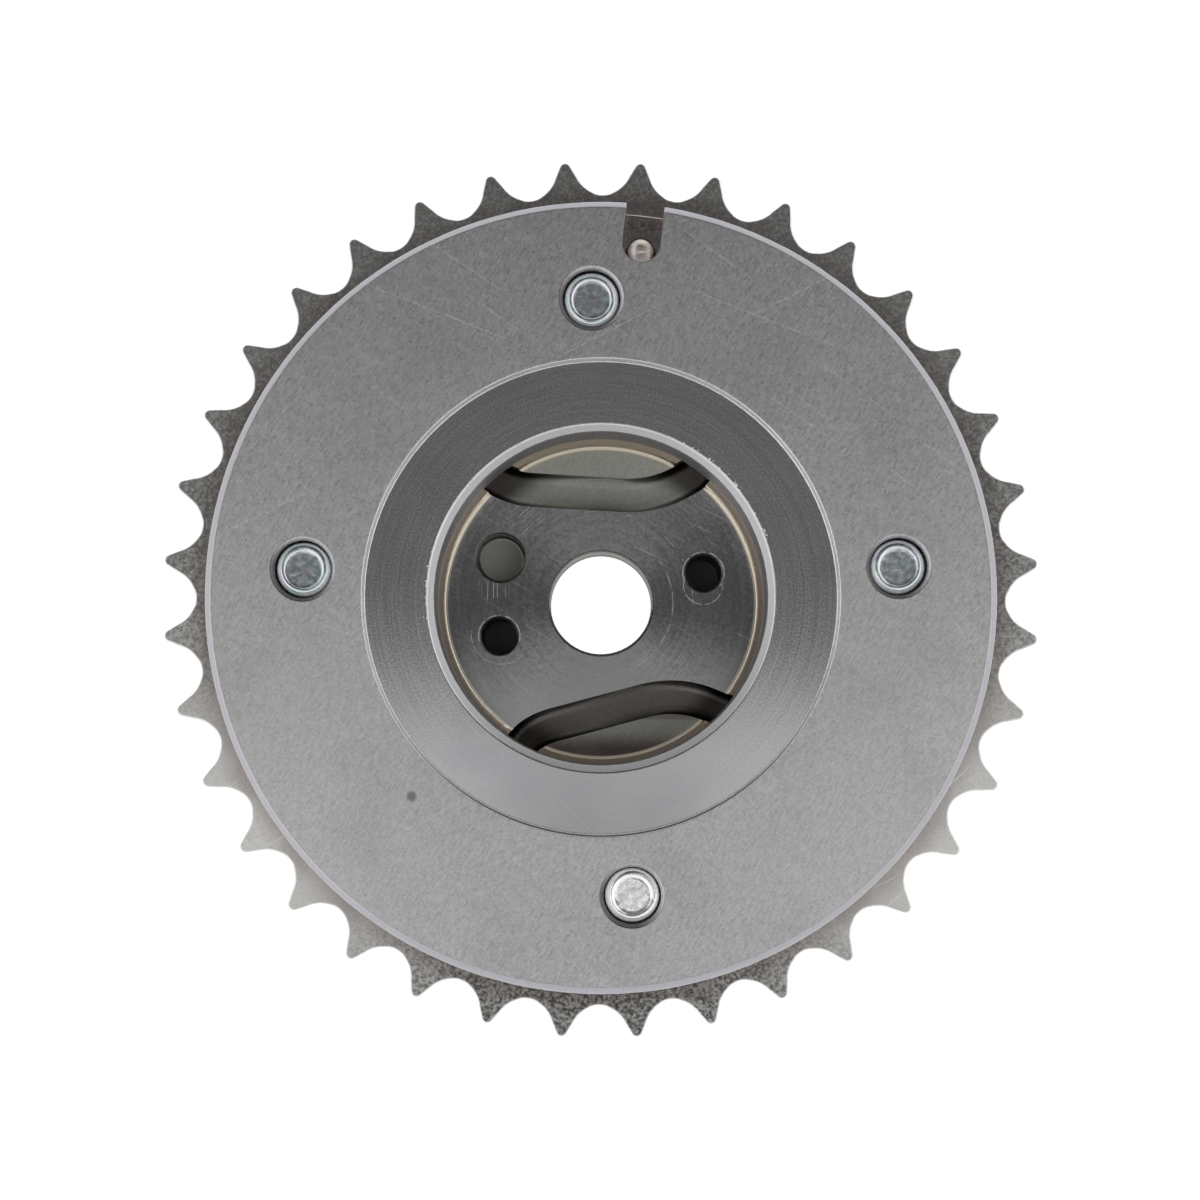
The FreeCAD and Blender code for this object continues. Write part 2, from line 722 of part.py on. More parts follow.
def groove_cutter(name, points, bends):
    """Build the body of one oil groove from the path of its middle.

    The path is straight between its points and rounded at each inner point
    by the bend of that point.
    """
    path = doc.addObject("Sketcher::SketchObject", f"{name}_path")
    places = [FreeCAD.Vector(value(x), value(y), 0) for x, y in points]
    trims = []
    for before, corner, after, bend in zip(places, places[1:], places[2:], bends):
        arriving = (corner - before).normalize()
        leaving = (after - corner).normalize()
        swing = arriving.getAngle(leaving)
        turn = 1 if arriving.cross(leaving).z > 0 else -1
        cut = value(bend) * math.tan(swing / 2)
        start = corner - arriving * cut
        side = FreeCAD.Vector(-arriving.y, arriving.x, 0) * turn
        trims.append((start, corner + leaving * cut, start + side * value(bend), turn))
    starts = [places[0]] + [trim[1] for trim in trims]
    ends = [trim[0] for trim in trims] + [places[-1]]
    lines = [path.addGeometry(Part.LineSegment(start, end), False)
             for start, end in zip(starts, ends)]
    for number, (start, end, centre, turn) in enumerate(trims):
        bend = bends[number]
        arc = path.addGeometry(arc_between(start, end, centre, value(bend), turn), False)
        mark = path.addGeometry(Part.Point(places[number + 1]), True)
        near, far = (1, 2) if turn > 0 else (2, 1)
        for rule in (
            Sketcher.Constraint("Tangent", lines[number], 2, arc, near),
            Sketcher.Constraint("Tangent", arc, far, lines[number + 1], 1),
            Sketcher.Constraint("PointOnObject", mark, 1, lines[number]),
            Sketcher.Constraint("PointOnObject", mark, 1, lines[number + 1]),
        ):
            path.addConstraint(rule)
        pin_point(path, mark, 1, f"bend_{number}", *points[number + 1])
        index = path.addConstraint(Sketcher.Constraint("Radius", arc, value(bend)))
        name_constraint(path, index, f"bend_{number}_radius", bend)
    pin_point(path, lines[0], 1, "start", *points[0])
    pin_point(path, lines[-1], 2, "finish", *points[-1])
    tie(path, "Placement.Base.z", rotor_top_z)
    band = doc.addObject("Part::Offset2D", f"{name}_band")
    band.Source = path
    band.Mode = "Pipe"
    tie(band, "Value", "groove_width / 2")
    cutter = doc.addObject("Part::Extrusion", f"{name}_cutter")
    cutter.Base = band
    cutter.DirMode = "Custom"
    cutter.Dir = FreeCAD.Vector(0, 0, -1)
    cutter.Solid = True
    tie(cutter, "LengthFwd", "spigot_recess_depth + groove_depth")
    return cutter


def rotor():
    """Build the vaned rotor with its two curved oil grooves."""
    exit_radius = f"({hub_radius} + groove_width / 2)"
    upper = groove_cutter("upper_groove", [
        polar(exit_radius, "upper_exit_1_angle"),
        ("upper_bend_1_x", "upper_bend_1_y"),
        ("upper_bend_2_x", "upper_bend_2_y"),
        ("upper_bend_3_x", "upper_bend_3_y"),
        polar(exit_radius, "upper_exit_2_angle"),
    ], ["upper_bend_1_radius", "upper_bend_2_radius", "groove_hidden_bend"])
    lower = groove_cutter("lower_groove", [
        polar(exit_radius, "lower_exit_1_angle"),
        ("lower_bend_1_x", "lower_bend_1_y"),
        ("lower_bend_2_x", "lower_bend_2_y"),
        ("lower_bend_3_x", "lower_bend_3_y"),
        polar(exit_radius, "lower_exit_2_angle"),
    ], ["groove_hidden_bend", "lower_bend_2_radius", "lower_bend_3_radius"])
    grooves = doc.addObject("Part::MultiFuse", "oil_grooves")
    grooves.Shapes = [upper, lower]
    cut = doc.addObject("Part::Cut", "rotor")
    cut.Base = rotor_blank()
    cut.Tool = grooves
    cut.Label = "rotor"
    return cut


def vane_seal(number):
    """Build the strip that seals one vane against the chamber wall."""
    body = new_body(f"vane_seal_{number}")
    tip = f"({chamber_radius} - seal_tip_clearance)"
    back = f"({tip} - seal_depth)"
    mouth = f"sqrt({tip} ^ 2 - (seal_width / 2) ^ 2)"
    sketch = new_sketch(body, f"vane_seal_outline_{number}", "XY_Plane", seal_bottom_z())
    add_outline(sketch, [
        (back, "-seal_width / 2"),
        (mouth, "-seal_width / 2", round_axis(tip, 1)),
        (mouth, "seal_width / 2"),
        (back, "seal_width / 2"),
    ])
    pad(body, sketch, f"vane_seal_strip_{number}", seal_length())
    turn_body(body, vane_middle(number))
    return body


def shoe_seal(number):
    """Build the strip that seals one shoe against the hub."""
    body = new_body(f"shoe_seal_{number}")
    tip = f"({hub_radius} + seal_tip_clearance)"
    back = f"({tip} + seal_depth)"
    mouth = f"sqrt({tip} ^ 2 - (seal_width / 2) ^ 2)"
    sketch = new_sketch(body, f"shoe_seal_outline_{number}", "XY_Plane", seal_bottom_z())
    add_outline(sketch, [
        (back, "seal_width / 2"),
        (mouth, "seal_width / 2", round_axis(tip, -1)),
        (mouth, "-seal_width / 2"),
        (back, "-seal_width / 2"),
    ])
    pad(body, sketch, f"shoe_seal_strip_{number}", seal_length())
    turn_body(body, bolt_angle(number))
    return body


def seal_bottom_z():
    """Return the height of a seal's lower end."""
    return f"({chamber_floor_z} + seal_end_clearance)"


def seal_length():
    """Return how long a seal strip is."""
    return "(chamber_height - 2 * seal_end_clearance)"


def turn_body(body, angle):
    """Turn a body about the main axis to an angle."""
    start = FreeCAD.Rotation(FreeCAD.Vector(0, 0, 1), value(angle))
    body.Placement = FreeCAD.Placement(FreeCAD.Vector(), start)
    tie(body, "Placement.Rotation.Angle", angle)


def leaf_spring(name, foot, crown, angle):
    """Build an arched leaf spring whose ends stand at foot and top at crown.

    Both are radii. The arch is two arcs one leaf's thickness apart, through
    the ends and the middle of the strip.
    """
    body = new_body(name)
    middle = f"({chamber_floor_z} + chamber_height / 2)"
    sign = "1" if value(crown) > value(foot) else "-1"
    rise = f"(abs({crown} - {foot}) - leaf_thickness)"
    bow = f"((leaf_length ^ 2 / 4 + {rise} ^ 2) / (2 * {rise}))"
    outer_bow = f"({bow} + leaf_thickness)"
    centre = f"({foot} + {sign} * ({rise} - {bow}))"
    reach = "leaf_length / 2"
    outer_reach = f"({reach} * {outer_bow} / {bow})"
    outer_foot = f"({centre} + {sign} * sqrt({outer_bow} ^ 2 - {outer_reach} ^ 2))"
    turn = 1 if value(crown) > value(foot) else -1
    sketch = new_sketch(body, f"{name}_arch", "XZ_Plane")
    add_outline(sketch, [
        (foot, f"{middle} - {reach}"),
        (outer_foot, f"{middle} - {outer_reach}", (outer_bow, centre, middle, turn)),
        (outer_foot, f"{middle} + {outer_reach}"),
        (foot, f"{middle} + {reach}", (bow, centre, middle, -turn)),
    ])
    pad(body, sketch, f"{name}_strip", "leaf_width", midplane=True)
    turn_body(body, angle)
    return body


def vane_leaf(number):
    """Build the leaf spring behind one vane's seal."""
    foot = f"({chamber_radius} - seal_slot_depth + leaf_clearance)"
    crown = f"({chamber_radius} - seal_tip_clearance - seal_depth - leaf_clearance)"
    return leaf_spring(f"vane_seal_spring_{number}", foot, crown, vane_middle(number))


def shoe_leaf(number):
    """Build the leaf spring behind one shoe's seal."""
    foot = f"({hub_radius} + seal_slot_depth - leaf_clearance)"
    crown = f"({hub_radius} + seal_tip_clearance + seal_depth + leaf_clearance)"
    return leaf_spring(f"shoe_seal_spring_{number}", foot, crown, bolt_angle(number))


# Lock pin pieces

def at_lock(body):
    """Stand a body on the lock pin's axis."""
    tie(body, "Placement.Base.x", lock_x)
    tie(body, "Placement.Base.y", lock_y)
    return body


def lock_pin():
    """Build the hollow stepped pin that locks the rotor to the rear plate."""
    body = new_body("lock_pin")
    revolve(body, "lock_pin_turned", [
        (lock_cavity_radius, lock_skirt_z),
        ("lock_skirt_radius", lock_skirt_z),
        ("lock_skirt_radius", lock_shoulder_z),
        ("lock_nose_radius", lock_shoulder_z),
        ("lock_nose_radius", f"{lock_nose_z} - lock_nose_chamfer"),
        ("lock_nose_radius - lock_nose_chamfer", lock_nose_z),
        ("0", lock_nose_z),
        ("0", lock_cavity_z),
        (lock_cavity_radius, lock_cavity_z),
    ])
    return at_lock(body)


def lock_bush():
    """Build the hard ring in the rear plate that the lock pin enters."""
    body = new_body("lock_bush")
    revolve(body, "bush_turned", [
        (f"{lock_nose_bore} + edge_break", chamber_top_z),
        (bush_radius, chamber_top_z),
        (bush_radius, f"{chamber_top_z} + bush_length"),
        (lock_nose_bore, f"{chamber_top_z} + bush_length"),
        (lock_nose_bore, f"{chamber_top_z} + edge_break"),
    ])
    return at_lock(body)


def spring_seat():
    """Build the vented disc that closes the lock pin's bore."""
    body = new_body("spring_seat")
    edge = f"({lock_skirt_bore} - press_clearance)"
    revolve(body, "spring_seat_turned", [
        ("spring_seat_vent", rotor_bottom_z),
        (edge, rotor_bottom_z),
        (edge, spring_seat_z),
        ("spring_seat_vent", spring_seat_z),
    ])
    return at_lock(body)


def lock_spring():
    """Build the coil spring between the seat and the lock pin's crown."""
    coil_radius = f"({lock_cavity_radius} - spring_clearance - spring_wire_radius)"
    start = f"({spring_seat_z} + spring_wire_radius + spring_end_gap)"
    rise = f"({lock_cavity_z} - spring_wire_radius - spring_end_gap - {start})"
    helix = doc.addObject("Part::Helix", "spring_line")
    tie(helix, "Height", rise)
    tie(helix, "Pitch", f"{rise} / spring_turns")
    tie(helix, "Radius", coil_radius)
    wire = doc.addObject("Part::RegularPolygon", "spring_wire")
    wire.Polygon = SPRING_WIRE_SIDES
    tie(wire, "Circumradius", "spring_wire_radius")
    wire.Placement.Rotation = FreeCAD.Rotation(FreeCAD.Vector(1, 0, 0), 90)
    tie(wire, "Placement.Base.x", coil_radius)
    spring = doc.addObject("Part::Sweep", "lock_spring")
    spring.Sections = [wire]
    spring.Spine = (helix, [])
    spring.Solid = True
    spring.Frenet = True
    spring.Label = "lock_spring"
    tie(spring, "Placement.Base.x", lock_x)
    tie(spring, "Placement.Base.y", lock_y)
    tie(spring, "Placement.Base.z", start)
    return spring


# The whole phaser

def build_all():
    """Return every sub-part in the order of its node."""
    nodes = [
        rear_plate(),
        sprocket_housing(),
        front_plate(),
        housing_bolts(),
        locating_pin(),
        rotor(),
        lock_pin(),
        lock_spring(),
        spring_seat(),
        lock_bush(),
    ]
    for number in range(1, SEAT_COUNT + 1):
        nodes += [vane_seal(number), vane_leaf(number), shoe_seal(number), shoe_leaf(number)]
    return nodes


def write_nodes(nodes):
    """Check every object and write each sub-part to its own file."""
    doc.recompute()
    failed = [f"{item.Name}: {item.getStatusString()}" for item in doc.Objects
              if {"Invalid", "Error"} & set(item.State)]
    if failed:
        raise RuntimeError("; ".join(failed))
    os.makedirs("parts", exist_ok=True)
    for node in nodes:
        shape = node.Shape
        if shape.isNull() or not shape.isValid():
            raise RuntimeError(f"{node.Label} has no valid shape")
        shape.exportStep(f"parts/{node.Label}.step")
        print(f"{node.Label}: {len(shape.Solids)} solid, {shape.Volume:.2f} mm3")


write_nodes(build_all())
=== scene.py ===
"""Cam phaser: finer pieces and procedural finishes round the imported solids."""
import json
import logging
import math
from dataclasses import dataclass
from enum import Enum

import bmesh
import bpy
from mathutils import Matrix, Vector, noise


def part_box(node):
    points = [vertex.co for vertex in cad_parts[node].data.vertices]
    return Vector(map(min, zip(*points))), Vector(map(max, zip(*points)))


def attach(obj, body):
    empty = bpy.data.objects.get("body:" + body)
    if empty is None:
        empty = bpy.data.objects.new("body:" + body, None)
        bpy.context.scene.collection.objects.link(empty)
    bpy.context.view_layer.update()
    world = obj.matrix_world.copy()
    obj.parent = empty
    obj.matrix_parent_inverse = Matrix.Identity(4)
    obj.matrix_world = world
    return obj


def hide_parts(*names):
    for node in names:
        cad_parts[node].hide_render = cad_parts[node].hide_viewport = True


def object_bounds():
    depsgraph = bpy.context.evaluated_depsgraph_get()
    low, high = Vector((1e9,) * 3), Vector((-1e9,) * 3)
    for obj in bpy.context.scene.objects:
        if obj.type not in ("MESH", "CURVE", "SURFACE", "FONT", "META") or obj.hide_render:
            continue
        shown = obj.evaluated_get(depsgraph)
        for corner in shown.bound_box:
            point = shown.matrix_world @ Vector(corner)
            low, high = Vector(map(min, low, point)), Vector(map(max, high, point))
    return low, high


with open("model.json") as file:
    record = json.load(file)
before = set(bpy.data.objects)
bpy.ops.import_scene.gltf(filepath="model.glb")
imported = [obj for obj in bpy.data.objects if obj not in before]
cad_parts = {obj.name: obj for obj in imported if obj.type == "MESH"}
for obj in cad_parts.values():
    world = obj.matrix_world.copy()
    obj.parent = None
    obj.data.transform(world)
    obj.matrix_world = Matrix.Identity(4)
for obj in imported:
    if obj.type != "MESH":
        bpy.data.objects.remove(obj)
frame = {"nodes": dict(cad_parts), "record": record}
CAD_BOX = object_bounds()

LOG = logging.getLogger("cam_phaser")
MM = 0.001
EDGE_MASK = "rounded_edge"
SHADE_MASK = "shaded_side"
BOLT_CIRCLE = 31.545
BOLT_ANGLES = (6.0, 91.8, 174.5, 276.0)
BOLT_PLACES = tuple((BOLT_CIRCLE * math.cos(math.radians(angle)),
                     BOLT_CIRCLE * math.sin(math.radians(angle))) for angle in BOLT_ANGLES)
FLAT_ANGLE = math.radians(0.5)
COVE_ANGLE = math.radians(32)
SMOOTH_ANGLE = math.radians(50)
COVE_BAND = 0.03
SHADE_REACH = 1.5
SHADE_FACING = 0.1
SEAT_EDGE = 25.25 * MM
SEAT_TOP = 30.98 * MM
Colour = tuple[float, float, float]
Triple = tuple[float, float, float]
Socket = bpy.types.NodeSocket
Geometry = list[bmesh.types.BMVert | bmesh.types.BMEdge]


class Body(Enum):
    """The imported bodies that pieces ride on."""

    HOUSING = "housing"
    ROTOR = "rotor_group"


class Effect(Enum):
    """The shared effects, each kept as one node group."""

    BRUSHING = "brushing"
    SCRATCHES = "scratches"
    TURNING = "turning"
    BLOTCHES = "blotches"
    EDGE_WEAR = "edge_wear"
    RING_LINE = "ring_line"
    PORES = "pores"


# Node trees


class Wiring:
    """Adds nodes to one tree and joins them in short calls."""

    def __init__(self, tree: bpy.types.NodeTree) -> None:
        """Keeps the tree of a material, a world or a group, which the nodes go into."""
        self.tree = tree

    def add(self, kind: str, **settings: object) -> bpy.types.Node:
        """Adds one node and sets its properties.

        Args:
            kind: the node's class name.
            **settings: properties of the node.

        Returns:
            The new node.
        """
        node = self.tree.nodes.new(kind)
        for name, value in settings.items():
            setattr(node, name, value)
        return node

    def feed(self, socket: Socket, value: object) -> None:
        """Joins a socket to another one, or sets its own value.

        Args:
            socket: the input to fill.
            value: an output socket, a number, a vector or a colour.
        """
        if isinstance(value, bpy.types.NodeSocket):
            self.tree.links.new(value, socket)
        elif socket.type == "RGBA" and len(value) == 3:
            socket.default_value = (*value, 1.0)
        else:
            socket.default_value = value

    def math(self, operation: str, *values: object, clamp: bool = False) -> Socket:
        """Returns the result of a Math node.

        Args:
            operation: the node's operation.
            *values: its inputs in order.
            clamp: True to keep the result between 0 and 1.

        Returns:
            The result's socket.
        """
        node = self.add("ShaderNodeMath", operation=operation, use_clamp=clamp)
        for socket, value in zip(node.inputs, values):
            self.feed(socket, value)
        return node.outputs[0]

    def vector(self, operation: str, *values: object) -> bpy.types.Node:
        """Returns a Vector Math node with its inputs filled.

        Args:
            operation: the node's operation.
            *values: its vector inputs in order.

        Returns:
            The node.
        """
        node = self.add("ShaderNodeVectorMath", operation=operation)
        for socket, value in zip(node.inputs, values):
            self.feed(socket, value)
        return node

    def noise(self, vector: Socket, scale: float, detail: float = 2.0) -> Socket:
        """Returns a noise value from 0 to 1.

        Args:
            vector: the place.
            scale: how many features a unit of the place holds.
            detail: the finer layers on top.

        Returns:
            The value's socket.
        """
        node = self.add("ShaderNodeTexNoise")
        self.feed(node.inputs["Vector"], vector)
        self.feed(node.inputs["Scale"], scale)
        self.feed(node.inputs["Detail"], detail)
        return node.outputs["Fac"]

    def spread(self, value: object, low: object, high: object,
               to_low: float = 0.0, to_high: float = 1.0) -> Socket:
        """Maps a value smoothly from one span to another.

        Args:
            value: the value.
            low: the value that gives to_low.
            high: the value that gives to_high.
            to_low: the result at low.
            to_high: the result at high.

        Returns:
            The mapped value's socket.
        """
        node = self.add("ShaderNodeMapRange", interpolation_type="SMOOTHSTEP")
        for name, item in (("Value", value), ("From Min", low), ("From Max", high),
                           ("To Min", to_low), ("To Max", to_high)):
            self.feed(node.inputs[name], item)
        return node.outputs["Result"]

    def blend(self, share: object, first: object, second: object,
              how: str = "MIX") -> Socket:
        """Mixes two colours.

        Args:
            share: the second colour's share.
            first: the first colour.
            second: the second colour.
            how: the mix node's blend type.

        Returns:
            The mixed colour's socket.
        """
        node = self.add("ShaderNodeMix", data_type="RGBA", blend_type=how)
        self.feed(node.inputs[0], share)
        self.feed(node.inputs[6], first)
        self.feed(node.inputs[7], second)
        return node.outputs[2]

    def parts(self, vector: Socket) -> tuple[Socket, Socket, Socket]:
        """Splits a vector into its three numbers.

        Args:
            vector: the vector.

        Returns:
            The sockets of x, y and z.
        """
        node = self.add("ShaderNodeSeparateXYZ")
        self.feed(node.inputs[0], vector)
        return node.outputs[0], node.outputs[1], node.outputs[2]

    def joined(self, x: object = 0.0, y: object = 0.0, z: object = 0.0) -> Socket:
        """Makes a vector of three numbers.

        Args:
            x: the first number.
            y: the second number.
            z: the third number.

        Returns:
            The vector's socket.
        """
        node = self.add("ShaderNodeCombineXYZ")
        for socket, value in zip(node.inputs, (x, y, z)):
            self.feed(socket, value)
        return node.outputs[0]

    def even(self, value: Socket) -> Socket:
        """Returns a vector or a grey whose three numbers are the same value."""
        return self.joined(value, value, value)

    def times(self, first: object, *others: object) -> Socket:
        """Multiplies values in order.

        Args:
            first: the first value.
            *others: the values that it is multiplied by.

        Returns:
            The product's socket.
        """
        for value in others:
            first = self.math("MULTIPLY", first, value)
        return first

    def most(self, masks: list[Socket]) -> Socket:
        """Returns the largest of some masks.

        Args:
            masks: the masks.

        Returns:
            The joint mask's socket.
        """
        joint = masks[0]
        for mask in masks[1:]:
            joint = self.math("MAXIMUM", joint, mask)
        return joint

    def flat(self, place: Socket) -> Socket:
        """Returns a place with its height set to 0."""
        x, y, _ = self.parts(place)
        return self.joined(x, y)

    def reach(self, place: Socket) -> Socket:
        """Returns a place's distance from the z axis."""
        return self.vector("LENGTH", self.flat(place)).outputs["Value"]

    def facing(self, place: Socket, aim: object) -> Socket:
        """Returns how far a place lies towards one side of the axis, 1 at that side."""
        way = self.vector("NORMALIZE", self.flat(place)).outputs[0]
        return self.vector("DOT_PRODUCT", way, aim).outputs["Value"]

    def shrunk(self, place: Socket, size: Socket) -> Socket:
        """Returns a place measured in units of the given size."""
        return self.vector("DIVIDE", place, self.even(size)).outputs[0]

    def swing(self, value: Socket, low: float, high: float) -> Socket:
        """Maps the middle span of a noise, 0.3 to 0.7, smoothly to another span."""
        return self.spread(value, 0.3, 0.7, low, high)

    def tinted(self, colour: Socket, tone: Socket) -> Socket:
        """Returns a colour made lighter or darker by a tone."""
        return self.blend(1.0, colour, self.even(tone), "MULTIPLY")

    def painted(self, name: str) -> Socket:
        """Returns the value that the mesh keeps under an attribute's name."""
        return self.add("ShaderNodeAttribute", attribute_name=name).outputs["Fac"]

    def effect(self, which: Effect, **values: object) -> Socket:
        """Places one shared effect and fills its inputs.

        Args:
            which: the effect.
            **values: its inputs, with _ for each space.

        Returns:
            The socket of its result.
        """
        node = self.add("ShaderNodeGroup", node_tree=EFFECTS[which])
        for name, value in values.items():
            self.feed(node.inputs[name.replace("_", " ").capitalize()], value)
        return node.outputs[0]


class EffectGroups:
    """Builds the node groups that the finishes share."""

    def build(self) -> dict[Effect, bpy.types.NodeTree]:
        """Builds every group.

        Returns:
            The groups by effect.
        """
        makers = {
            Effect.BRUSHING: self.brushing,
            Effect.SCRATCHES: self.scratches,
            Effect.TURNING: self.turning,
            Effect.BLOTCHES: self.blotches,
            Effect.EDGE_WEAR: self.edge_wear,
            Effect.RING_LINE: self.ring_line,
            Effect.PORES: self.pores,
        }
        return {which: make(which.value) for which, make in makers.items()}

    def start(self, name: str, **inputs: object) -> tuple[Wiring, bpy.types.Node]:
        """Starts a group that gives one mask or value.

        Args:
            name: the group's name.
            **inputs: its inputs with their starting values; None is a vector.

        Returns:
            The group's wiring and its input node.
        """
        tree = bpy.data.node_groups.new(name, "ShaderNodeTree")
        tree.interface.new_socket("Mask", in_out="OUTPUT", socket_type="NodeSocketFloat")
        for word, value in inputs.items():
            kind = "NodeSocketVector" if value is None else "NodeSocketFloat"
            label = word.replace("_", " ").capitalize()
            socket = tree.interface.new_socket(label, in_out="INPUT", socket_type=kind)
            if value is not None:
                socket.default_value = value
        wiring = Wiring(tree)
        return wiring, wiring.add("NodeGroupInput")

    def end(self, wiring: Wiring, mask: Socket) -> bpy.types.NodeTree:
        """Joins a group's result to its output.

        Args:
            wiring: the group's wiring.
            mask: the result.

        Returns:
            The finished group.
        """
        output = wiring.add("NodeGroupOutput")
        wiring.feed(output.inputs[0], mask)
        return wiring.tree

    def turned(self, wiring: Wiring, place: Socket, angle: Socket) -> Socket:
        """Turns a place about z, so that x runs along the given angle.

        Args:
            wiring: the tree's wiring.
            place: the place.
            angle: the angle in radians.

        Returns:
            The turned place's socket.
        """
        node = wiring.add("ShaderNodeVectorRotate", rotation_type="Z_AXIS", invert=True)
        wiring.feed(node.inputs["Vector"], place)
        wiring.feed(node.inputs["Angle"], angle)
        return node.outputs[0]

    def brushing(self, name: str) -> bpy.types.NodeTree:
        """Fine strokes of a grinding belt, as a value round 0.5.

        Args:
            name: the group's name.

        Returns:
            The finished group.
        """
        w, given = self.start(name, vector=None, angle=0.0, width=0.15, length=6.0)
        place, angle, width, length = given.outputs[:4]
        along, across, up = w.parts(self.turned(w, place, angle))
        place = w.joined(w.math("DIVIDE", along, length), w.math("DIVIDE", across, width), up)
        return self.end(w, w.noise(place, 1.0, 1.0))

    def scratches(self, name: str) -> bpy.types.NodeTree:
        """Straight single scratches of random place, slant and depth.

        Args:
            name: the group's name.

        Returns:
            The finished group.
        """
        w, given = self.start(name, vector=None, angle=0.0, width=0.08, length=18.0,
                              spacing=2.5, share=0.4, seed=0.0)
        place, angle, width, length, spacing, share, seed = given.outputs[:7]
        along, across, _ = w.parts(self.turned(w, place, angle))
        rows = w.math("DIVIDE", across, spacing)
        row = w.math("FLOOR", rows)
        start = w.add("ShaderNodeTexWhiteNoise", noise_dimensions="2D")
        w.feed(start.inputs["Vector"], w.joined(row, seed))
        runs = w.math("ADD", w.math("DIVIDE", along, length), start.outputs["Value"])
        run = w.math("FLOOR", runs)
        dice = w.add("ShaderNodeTexWhiteNoise", noise_dimensions="3D")
        w.feed(dice.inputs["Vector"], w.joined(row, run, seed))
        rolled = w.add("ShaderNodeSeparateColor")
        w.feed(rolled.inputs[0], dice.outputs["Color"])
        inside = w.math("FRACT", runs)
        slant = w.times(w.math("SUBTRACT", rolled.outputs[1], 0.5),
                        w.math("SUBTRACT", inside, 0.5))
        centre = w.math("ADD", w.math("MULTIPLY_ADD", rolled.outputs[0], 0.4, 0.3), slant)
        off = w.math("ABSOLUTE", w.math("SUBTRACT", w.math("FRACT", rows), centre))
        line = w.spread(w.times(off, spacing), width, 0.0)
        ends = w.times(w.spread(inside, 0.02, 0.2), w.spread(inside, 0.98, 0.55))
        there = w.math("LESS_THAN", rolled.outputs[2], share)
        depth = w.math("MULTIPLY_ADD", rolled.outputs[1], 0.7, 0.3)
        return self.end(w, w.times(w.times(line, ends), w.times(there, depth)))

    def turning(self, name: str) -> bpy.types.NodeTree:
        """Rings that a lathe tool leaves round the z axis, as a value round 0.5.

        Args:
            name: the group's name.

        Returns:
            The finished group.
        """
        w, given = self.start(name, vector=None, pitch=0.12)
        place, pitch = given.outputs[:2]
        rings = w.math("DIVIDE", w.reach(place), pitch)
        wander = w.times(w.noise(place, 0.12, 0.0), 3.0)
        rise = w.times(w.parts(place)[2], 4.0)
        return self.end(w, w.noise(w.joined(rings, wander, rise), 1.0, 1.0))

    def blotches(self, name: str) -> bpy.types.NodeTree:
        """Soft patches of stain, from 0 to 1.

        Args:
            name: the group's name.

        Returns:
            The finished group.
        """
        w, given = self.start(name, vector=None, size=10.0, low=0.45, high=0.7)
        place, size, low, high = given.outputs[:4]
        return self.end(w, w.spread(w.noise(w.shrunk(place, size), 1.0, 2.5), low, high))

    def edge_wear(self, name: str) -> bpy.types.NodeTree:
        """The broken share of bare, polished metal along rounded edges.

        Args:
            name: the group's name.

        Returns:
            The finished group.
        """
        w, given = self.start(name, vector=None, size=0.8)
        place, size = given.outputs[:2]
        broken = w.spread(w.noise(w.shrunk(place, size), 1.0, 1.0), 0.3, 0.6, 0.35, 1.0)
        return self.end(w, w.times(w.painted(EDGE_MASK), broken))

    def ring_line(self, name: str) -> bpy.types.NodeTree:
        """A thin broken circle round the z axis, of one radius.

        Args:
            name: the group's name.

        Returns:
            The finished group.
        """
        w, given = self.start(name, vector=None, toward=None, radius=10.0, width=0.1,
                              reach=-1.1)
        place, toward, radius, width, reach = given.outputs[:5]
        off = w.math("SUBTRACT", w.reach(place), radius)
        line = w.spread(w.math("ABSOLUTE", off), width, 0.0)
        aim = w.vector("NORMALIZE", toward).outputs[0]
        side = w.spread(w.facing(place, aim), reach, w.math("ADD", reach, 0.12))
        broken = w.spread(w.noise(place, 1.3, 2.0), 0.35, 0.6)
        return self.end(w, w.times(line, w.times(side, broken)))

    def pores(self, name: str) -> bpy.types.NodeTree:
        """The small pits of pressed and sintered metal, from 0 to 1.

        Args:
            name: the group's name.

        Returns:
            The finished group.
        """
        w, given = self.start(name, vector=None, size=0.3, share=0.35)
        place, size, share = given.outputs[:3]
        cells = w.add("ShaderNodeTexVoronoi", feature="F1")
        w.feed(cells.inputs["Vector"], w.shrunk(place, size))
        w.feed(cells.inputs["Scale"], 1.0)
        return self.end(w, w.spread(cells.outputs["Distance"], share, 0.05))


EFFECTS = EffectGroups().build()


